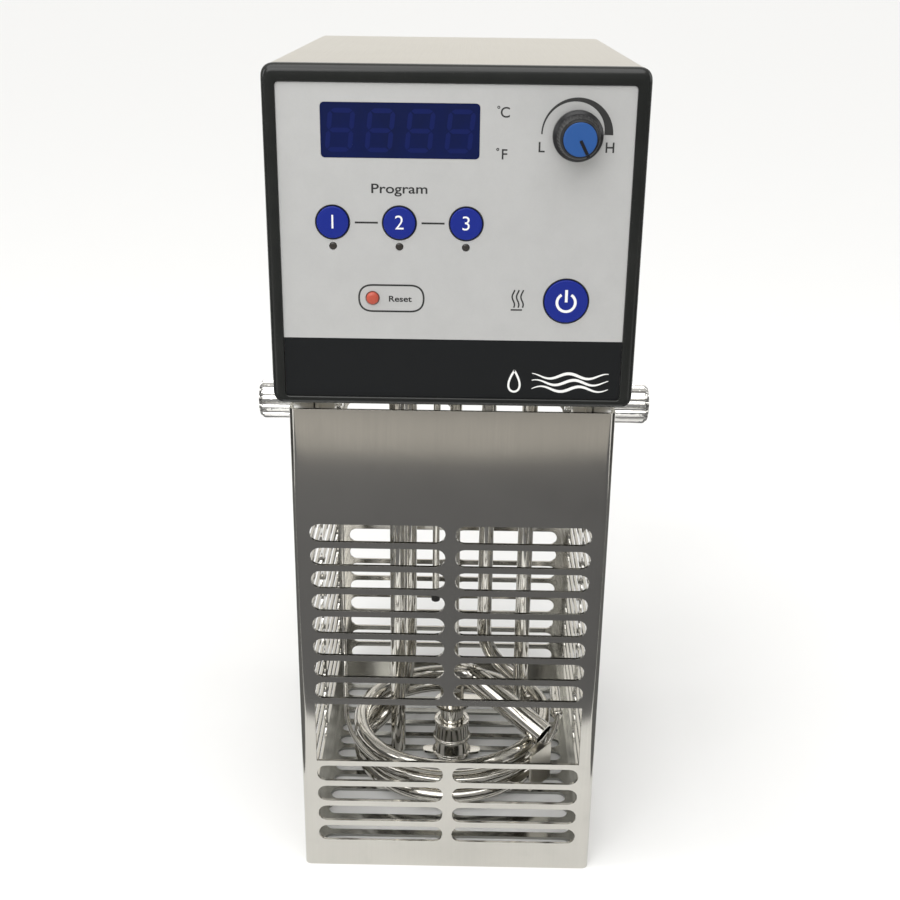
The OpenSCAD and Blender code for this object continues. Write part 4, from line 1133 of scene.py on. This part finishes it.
sensor_top = span("overheat_sensor")[1][2]
sweep_round = sensor_arc(np.linspace(270 - SENSOR_SWEEP, 270 + SENSOR_SWEEP, 70))
down = np.array([*SENSOR_AT, 60.0])
straight_down = line((*SENSOR_AT, sensor_top), down, 8)
into_sweep = bezier(down, down - [0, 0, 16], sweep_round[0] + [-1, 9, 3], sweep_round[0], 16)
capillary = np.concatenate([straight_down[:-1], into_sweep[:-1], sweep_round])
bulb = rounded([(0, -0.6), (2.4, -0.6), (2.4, 25.4), (0, 25.4)], 1.6, 6)
make("sensor_capillary", join(rod(capillary, 1.0, from_pump(capillary), 12),
                              turned(bulb, sweep_round[-1], (0, 1, 0), 24)), "head", ["overheat_sensor"])


def upright_bar(name, node, body, at, radius, edge, edge_steps, columns):
    """An upright round bar with rounded ends, as long as its CAD node."""
    foot, top = (corner[2] for corner in span(node))
    profile = rounded([(0, foot), (radius, foot), (radius, top), (0, top)], edge, edge_steps)
    make(name, turned(profile, (at[0], at[1], 0), UPRIGHT, columns), body, [node])


TUBE_R, LEVEL_R, TIP_R = 3.25, 1.5, 1.9
probe_at, level_at, shaft_at = middle("temperature_probe"), middle("level_probe"), (pump_x, 0)
shaft_r = span("drive_shaft")[1][0] - pump_x
upright_bar("probe_tube", "temperature_probe", "head", probe_at, TUBE_R, 1.8, 6, 40)
upright_bar("level_rod", "level_probe", "head", level_at, LEVEL_R, 0.4, 3, 24)
upright_bar("level_tip", "level_probe_tip", "head", level_at, TIP_R, 0.7, 4, 24)
upright_bar("pump_shaft", "drive_shaft", "rotor", shaft_at, shaft_r, 0.4, 3, 32)
print("capillary, probes and shaft are made")

# %% [markdown]
# A straight rod on the right ends in a flat arm, a plate between two loops: a circle round
# the pump's axis, and a larger one that a smooth bump pulls out to the rod.
# %% Support rod
rod_lo, rod_hi = span("support_rod")
ROD_AT, ARM_T, RING_R, RING_WIDTH, ROD_END_R = (31.5, 4.0), 1.5, 5.3, 2.5, 5.0
stem_foot, stem_top = rod_lo[2] + 0.2, rod_hi[2]
stem = rounded([(0, stem_foot), (TUBE_R, stem_foot), (TUBE_R, stem_top), (0, stem_top)], 0.5, 3)


def arm_outline(inner, outer, columns=64):
    """The arm as a slab between two loops: an inner circle, and an outer one pulled out to the rod."""
    angle = np.linspace(-np.pi, np.pi, columns, endpoint=False)
    reach = np.array([ROD_AT[0] - pump_x, ROD_AT[1]])
    toward = np.clip((np.cos(angle - math.atan2(reach[1], reach[0])) - 0.86) / 0.14, 0, 1)
    pull = toward * toward * (3 - 2 * toward)
    loop = np.stack([np.cos(angle), np.sin(angle)], -1)
    stretched = loop * outer + pull[:, None] * (reach + loop * (ROD_END_R - outer))
    return loop * inner, stretched


def slab(inner, outer, z0, z1):
    """A ring-shaped plate: four loops, inner low, outer low, outer high, inner high, and back again."""
    loops = [(inner, z0), (outer, z0), (outer, z1), (inner, z1), (inner, z0)]
    return skin([np.concatenate([loop, np.full((len(loop), 1), z)], 1) for loop, z in loops])


inner, outer = arm_outline(RING_R, RING_R + RING_WIDTH)
shift = np.array([pump_x, 0])
make("support_rod_and_arm", join(turned(stem, (*ROD_AT, 0), UPRIGHT, 36),
                                 slab(inner + shift, outer + shift, rod_lo[2], rod_lo[2] + ARM_T)),
     "head", ["support_rod"])
print("the arm reaches", round(ROD_AT[0] - pump_x, 1), "mm")

# %% [markdown]
# The pump's outlet is a thin tube bent over and down, cut square at its mouth. It is
# hollow, so the rings run along the outside, step in at the mouth, and go back inside.
# Its straight end shows a dark ellipse only because there is a real bore behind it.
# %% Outlet pipe
ELBOW_R, ELBOW_Z, ELBOW_TURN, RUN, AZIMUTH = 10.0, 36.3, 112.0, 37.4, -35.6
PIPE_R, PIPE_WALL = 5.25, 0.75
housing_lo, housing_hi = span("pump_housing")
heading = np.array([math.cos(math.radians(AZIMUTH)), math.sin(math.radians(AZIMUTH)), 0])
tilt = math.radians(ELBOW_TURN)
bend_angle = np.radians(np.linspace(0, ELBOW_TURN, 30))[:, None]
elbow = (np.array([pump_x, 0, ELBOW_Z]) + heading * ELBOW_R * (1 - np.cos(bend_angle))
         + np.array([0, 0, ELBOW_R]) * np.sin(bend_angle))
leaving = heading * math.sin(tilt) + np.array([0, 0, math.cos(tilt)])
mouth = elbow[-1] + RUN * leaving
pipe_path = np.concatenate([line((pump_x, 0, housing_hi[2] - 0.2), elbow[0], 6)[:-1], elbow[:-1],
                            line(elbow[-1], mouth, 16)])
pipe_side = np.array([-heading[1], heading[0], 0])
outside = rings(pipe_path, PIPE_R, pipe_side, 40)
inside = rings(pipe_path, PIPE_R - PIPE_WALL, pipe_side, 40)[::-1]
mouth_rim = rings(pipe_path, PIPE_R - PIPE_WALL / 2, pipe_side, 40)[-1:] + 0.18 * leaving
pipe_rows = np.concatenate([outside, mouth_rim, inside, outside[:1]])
make("outlet_tube", skin(pipe_rows), "head", ["pump_outlet_pipe"])
print("outlet mouth at", [round(float(v), 1) for v in mouth])

# %% [markdown]
# The pump's housing is a turned cup with a flange, a bead and a collar. Its profile goes up
# the outside and down the bore. A flat foot with rounded ends stands out at its bottom.
# %% Pump housing
cup_low, cup_top = housing_lo[2], housing_hi[2]
INLET_R, WALL_R, COLLAR_R, CHAMBER_R, FLANGE_R, BEAD_R = 4.4, 7.6, 7.95, 6.4, 8.8, 8.45
cup_outside = [(INLET_R, cup_low), (FLANGE_R, cup_low), (FLANGE_R, cup_low + 1.2), (WALL_R, cup_low + 1.6),
               (WALL_R, 10.7), (BEAD_R, 11.1), (BEAD_R, 12.0), (WALL_R, 12.4),
               (WALL_R, cup_top - 1.4), (COLLAR_R, cup_top - 1.0), (COLLAR_R, cup_top)]
cup_bore = [(5.4, cup_top), (4.6, cup_top - 3), (CHAMBER_R, cup_top - 4), (CHAMBER_R, cup_low + 2),
            (INLET_R, cup_low + 2), (INLET_R, cup_low)]
cup_part = turned(rounded(cup_outside + cup_bore, 0.3, 3), (pump_x, 0, 0), UPRIGHT, 72)
FOOT_X, FOOT_Y, FOOT_T, FOOT_POWER = 13.0, 3.0, 1.2, 0.6
foot_angle = np.linspace(0, 2 * np.pi, 96, endpoint=False)
foot_cos, foot_sin = np.cos(foot_angle), np.sin(foot_angle)
foot_loop = np.stack([FOOT_X * (np.sign(foot_cos) * np.abs(foot_cos) ** FOOT_POWER),
                      FOOT_Y * np.sign(foot_sin) * np.abs(foot_sin) ** FOOT_POWER], -1)
hole_loop = np.stack([7.0 * foot_cos, 2.4 * foot_sin], -1)
foot_part = slab(hole_loop + shift, foot_loop + shift, cup_low, cup_low + FOOT_T)
make("pump_cup", join(cup_part, foot_part), "head", ["pump_housing"])
print("pump cup from", round(float(cup_low), 1), "to", round(float(cup_top), 1))

# %% [markdown]
# Two fluted thumb knobs clamp the head to the cage walls. Fourteen round grooves are cut
# into the rim: each is a dip in the radius that follows a circle about the rim's edge. A
# thin washer sits under each. The knobs ride on their own bodies, because they turn.
# %% Clamp knobs and washers
FLUTES, FLUTE_R, FLUTE_OUT = 14, 1.15, 0.35
THREAD_R, THREAD_DEPTH, THREAD_PITCH = 2.86, 0.13, 1.0
WASHER_HOLE_R, WASHER_R = 3.1, 7.0


def flutes(radius, low, high):
    """Grooves in the rim: the dip is the circle's depth there, fading in at both ends."""
    def wave(angle, height_on):
        along_rim = radius * (np.mod(angle + np.pi / FLUTES, 2 * np.pi / FLUTES) - np.pi / FLUTES)
        dip = np.sqrt(np.clip(FLUTE_R ** 2 - along_rim ** 2, 0, None)) - FLUTE_OUT
        fade = np.clip((height_on - low) / 1.2, 0, 1) * np.clip((high - height_on) / 0.5 + 1, 0, 1)
        return -np.clip(dip, 0, None) * fade
    return wave


for name, sign in (("left", -1), ("right", 1)):
    lo, hi = span(f"clamp_knob_{name}")
    w_lo, w_hi = span(f"clamp_washer_{name}")
    radius = (hi[2] - lo[2]) / 2
    inner_face = (w_hi[0] if sign > 0 else -w_lo[0]) + 0.1
    length = (hi[0] if sign > 0 else -lo[0]) - inner_face
    stud_end = inner_face - (lo[0] if sign > 0 else -hi[0])
    rim_profile = rounded([(radius - 2.4, 0), (radius - 2.4, 2.1), (radius, 3.2), (radius, length - 1.6),
                           (radius - 1.4, length), (radius - 3.2, length - 0.5), (0, length - 0.7)], 0.6, 3)
    rim_profile = refined(rim_profile, longest_rise(rim_profile), 9)
    at = (sign * inner_face, 0, stud_z)
    stud_turns = np.linspace(-stud_end, 0, 60)
    thread = THREAD_R + THREAD_DEPTH * np.cos(stud_turns * 2 * np.pi / THREAD_PITCH)
    stud = np.concatenate([[(0, -stud_end)], np.stack([thread, stud_turns], -1)])
    knob = turned(np.concatenate([stud, rim_profile]), at, (sign, 0, 0), 224,
                  flutes(radius, 2.6, length - 0.4))
    make(f"thumb_knob_{name}", knob, f"knob_{name}", [f"clamp_knob_{name}"])
    t = w_hi[0] - w_lo[0]
    ring_profile = rounded([(WASHER_HOLE_R, 0), (WASHER_R, 0), (WASHER_R, t), (WASHER_HOLE_R, t),
                            (WASHER_HOLE_R, 0)], 0.25, 3)
    start_x = w_lo[0] if sign > 0 else w_hi[0]
    make(f"thin_washer_{name}", turned(ring_profile, (start_x, 0, stud_z), (sign, 0, 0), 48),
         f"washer_{name}", [f"clamp_washer_{name}"])
print("knobs are", round(float(2 * radius), 1), "mm across with", FLUTES, "flutes")

# %% [markdown]
# Case screws are pan heads with a cross recess. The recess is two rings of the same turned
# surface, its rim and its bed, whose radius grows and shrinks four times round the circle.
# %% Case screws and cord gland
RIM, BED = 1.58, 0.93


def cross(angle, height_on):
    """The recess's outline: a cosine of four times the angle, on its rim and its bed only."""
    return 0.42 * np.cos(4 * angle) * ((height_on == RIM) | (height_on == BED))


def screw(at, axis):
    """A pan-head screw: a plain shank, a domed head and a cross recess."""
    head = rounded([(0, -5), (1.4, -5), (1.4, 0), (2.8, 0), (2.8, 0.5), (2.45, 1.15), (1.75, 1.52)], 0.18, 2)
    recess = [(1.2, RIM), (1.1, BED), (0.4, 0.8), (0, 0.78)]
    return turned(np.concatenate([head, recess]), at, axis, 32, cross)


case_x = cover_hi[0] + 0.02
rear_y = span("rear_panel")[1][1] + 0.02
base_z = span("base_plate")[0][2]
side_ys, rear_zs = (bezel_lo[1] + 34, cover_hi[1] - 27), (base_z + 7, cover_hi[2] - 7)
spots = [((side * case_x, y, base_z + 7.5), (side, 0, 0)) for side in (-1, 1) for y in side_ys]
spots += [((side * 48, rear_y, z), (0, 1, 0)) for side in (-1, 1) for z in rear_zs]
make("pan_screws", join(*(screw(at, axis) for at, axis in spots)), "head", ["case_screws"])
gland_x, gland_z = middle("cable_gland")[0], middle("cable_gland")[2]
GLAND_BORE, GLAND_R, GLAND_NUT_R, GLAND_FLANGE_R, GRIP_RIBS = 3.6, 6, 8.4, 8.6, 18
gland_y = cover_hi[1] - sheet
inner_nut = [(GLAND_BORE, -13), (GLAND_R, -13), (GLAND_R, -6.3), (GLAND_NUT_R, -6.3), (GLAND_NUT_R, -1.3)]
outer_nut = [(GLAND_R, -1.3), (GLAND_R, 0), (GLAND_FLANGE_R, 0), (GLAND_FLANGE_R, 2), (6.9, 2.3), (6.6, 5)]
gland_end = [(5.8, 9), (GLAND_BORE, 9), (GLAND_BORE, -13)]
body_profile = rounded(inner_nut + outer_nut + gland_end, 0.4, 3)


def grip(angle, height_on):
    """Finger ribs round the gland's nut."""
    return -0.35 * (0.5 + 0.5 * np.cos(GRIP_RIBS * angle)) * (height_on > 2.4) * (height_on < 8)


gland = turned(body_profile, (gland_x, gland_y, gland_z), (0, 1, 0), 108, grip)
make("cord_gland_body", gland, "head", ["cable_gland"])
print(len(spots), "screws and the gland are made")

# %% [markdown]
# The studio is a wide pale floor. Steel shows only what it reflects, so what stands in
# front of it matters as much as the lamps. Dark and grey cloths lie before the object and
# at its sides, and a dark card stands on either side. Only reflections see them: they draw
# the dark band across the brushed sheet and the dark edges of the tubes.
# %% Stage
CARD_ROUGHNESS = 0.6


def card(name, corners, colour, seen=True):
    """A flat card in the studio, given by its corners in millimetres."""
    mesh = bpy.data.meshes.new(name)
    mesh.from_pydata([tuple(v * MM for v in corner) for corner in corners], [], [(0, 1, 2, 3)])
    obj = bpy.data.objects.new(name, mesh)
    bpy.context.scene.collection.objects.link(obj)
    finish = Finish(name, colour, CARD_ROUGHNESS, Specular_IOR_Level=0.2)
    finish.vary_roughness(finish.noise(60), 0.1)
    mesh.materials.append(finish.material)
    obj.visible_camera = obj.visible_shadow = obj.visible_diffuse = seen


def level_card(name, x0, x1, y0, y1, z, colour, seen=True):
    """A card that lies level, facing up."""
    card(name, [(x0, y0, z), (x1, y0, z), (x1, y1, z), (x0, y1, z)], colour, seen)


FAR, FLOOR_Z, CLOTH_Z = 30000, -0.05, 1.0
SIDE_X, SIDE_NEAR, SIDE_TALL = 460, 260, 300
level_card("pale_floor", -FAR, FAR, -FAR, FAR, FLOOR_Z, (0.84, 0.84, 0.835))
level_card("dark_cloth", -420, 420, -520, -178, CLOTH_Z, (0.10, 0.10, 0.104), seen=False)
level_card("grey_cloth", -900, 900, -630, -520, CLOTH_Z, (0.42, 0.40, 0.37), seen=False)
level_card("far_cloth", -6000, 6000, -9000, -630, CLOTH_Z, (0.09, 0.09, 0.088), seen=False)
for side_name, x in (("left", -SIDE_X), ("right", SIDE_X)):
    low_x, high_x = min(x, x / 4), max(x, x / 4)
    level_card(f"side_cloth_{side_name}", low_x, high_x, -170, SIDE_NEAR, CLOTH_Z,
               (0.12, 0.12, 0.12), seen=False)
    upright = [(x, -SIDE_NEAR, 0), (x, SIDE_NEAR, 0), (x, SIDE_NEAR, SIDE_TALL), (x, -SIDE_NEAR, SIDE_TALL)]
    card(f"dark_side_{side_name}", upright, (0.08, 0.08, 0.08), seen=False)
print("floor, cloths and side cards are placed")

# %% [markdown]
# A sun with a very wide disc gives soft shadows from above, and three area lights, which
# are glowing rectangles, add shine. A fourth stands behind and shows in reflections only.
# The sky is a ramp on height, from a dim horizon to a bright top, so round metal gets a
# light and a dark side.
# %% Light
MIDDLE = (0, 0, 150)
HORIZON, TOP_SKY, TOP_AT, SKY_POWER = (0.34, 0.34, 0.345, 1), (0.95, 0.94, 0.91, 1), 0.75, 0.6
SUN_POWER, SUN_WIDTH, SUN_TILT, SUN_ASIDE = 2.35, 70, 22, -6
WHITE, WARM = (1, 1, 1), (1.0, 0.975, 0.92)


def soft_box(name, place, size, power, target=MIDDLE, tint=WHITE):
    """An area light at a place, turned to a target, both in millimetres; its size is (width, height)."""
    light = bpy.data.lights.new(name, "AREA")
    light.shape, light.energy, light.color = "RECTANGLE", power, tint
    light.size, light.size_y = size[0] * MM, size[1] * MM
    obj = bpy.data.objects.new(name, light)
    obj.location = Vector(place) * MM
    obj.rotation_euler = (Vector(target) - Vector(place)).to_track_quat("-Z", "Y").to_euler()
    bpy.context.scene.collection.objects.link(obj)
    return obj


world = bpy.data.worlds.new("studio sky")
bpy.context.scene.world = world
world.use_nodes = True
sky = world.node_tree.nodes
height_of = sky.new("ShaderNodeSeparateXYZ")
ramp = sky.new("ShaderNodeValToRGB")
low_stop, high_stop = ramp.color_ramp.elements[0], ramp.color_ramp.elements[1]
low_stop.position, low_stop.color = 0.0, HORIZON
high_stop.position, high_stop.color = TOP_AT, TOP_SKY
links = world.node_tree.links
links.new(sky.new("ShaderNodeTexCoord").outputs["Generated"], height_of.inputs[0])
links.new(height_of.outputs["Z"], ramp.inputs[0])
links.new(ramp.outputs["Color"], sky["Background"].inputs["Color"])
sky["Background"].inputs["Strength"].default_value = SKY_POWER
sun = bpy.data.objects.new("wide_sun", bpy.data.lights.new("wide_sun", "SUN"))
sun.data.energy, sun.data.angle = SUN_POWER, math.radians(SUN_WIDTH)
sun.rotation_euler = (math.radians(SUN_TILT), math.radians(SUN_ASIDE), 0)
bpy.context.scene.collection.objects.link(sun)
back_box = soft_box("back_box", (0, 900, 520), (1700, 560), 1.7, (0, 0, 300), WARM)
back_box.visible_diffuse = False
soft_box("front_box", (-500, -1300, 900), (900, 600), 5)
soft_box("left_strip", (-900, -250, 350), (200, 900), 2)
soft_box("right_strip", (900, 100, 350), (250, 900), 1.5)
bpy.context.scene.view_settings.view_transform = "Standard"
print("the studio is lit")
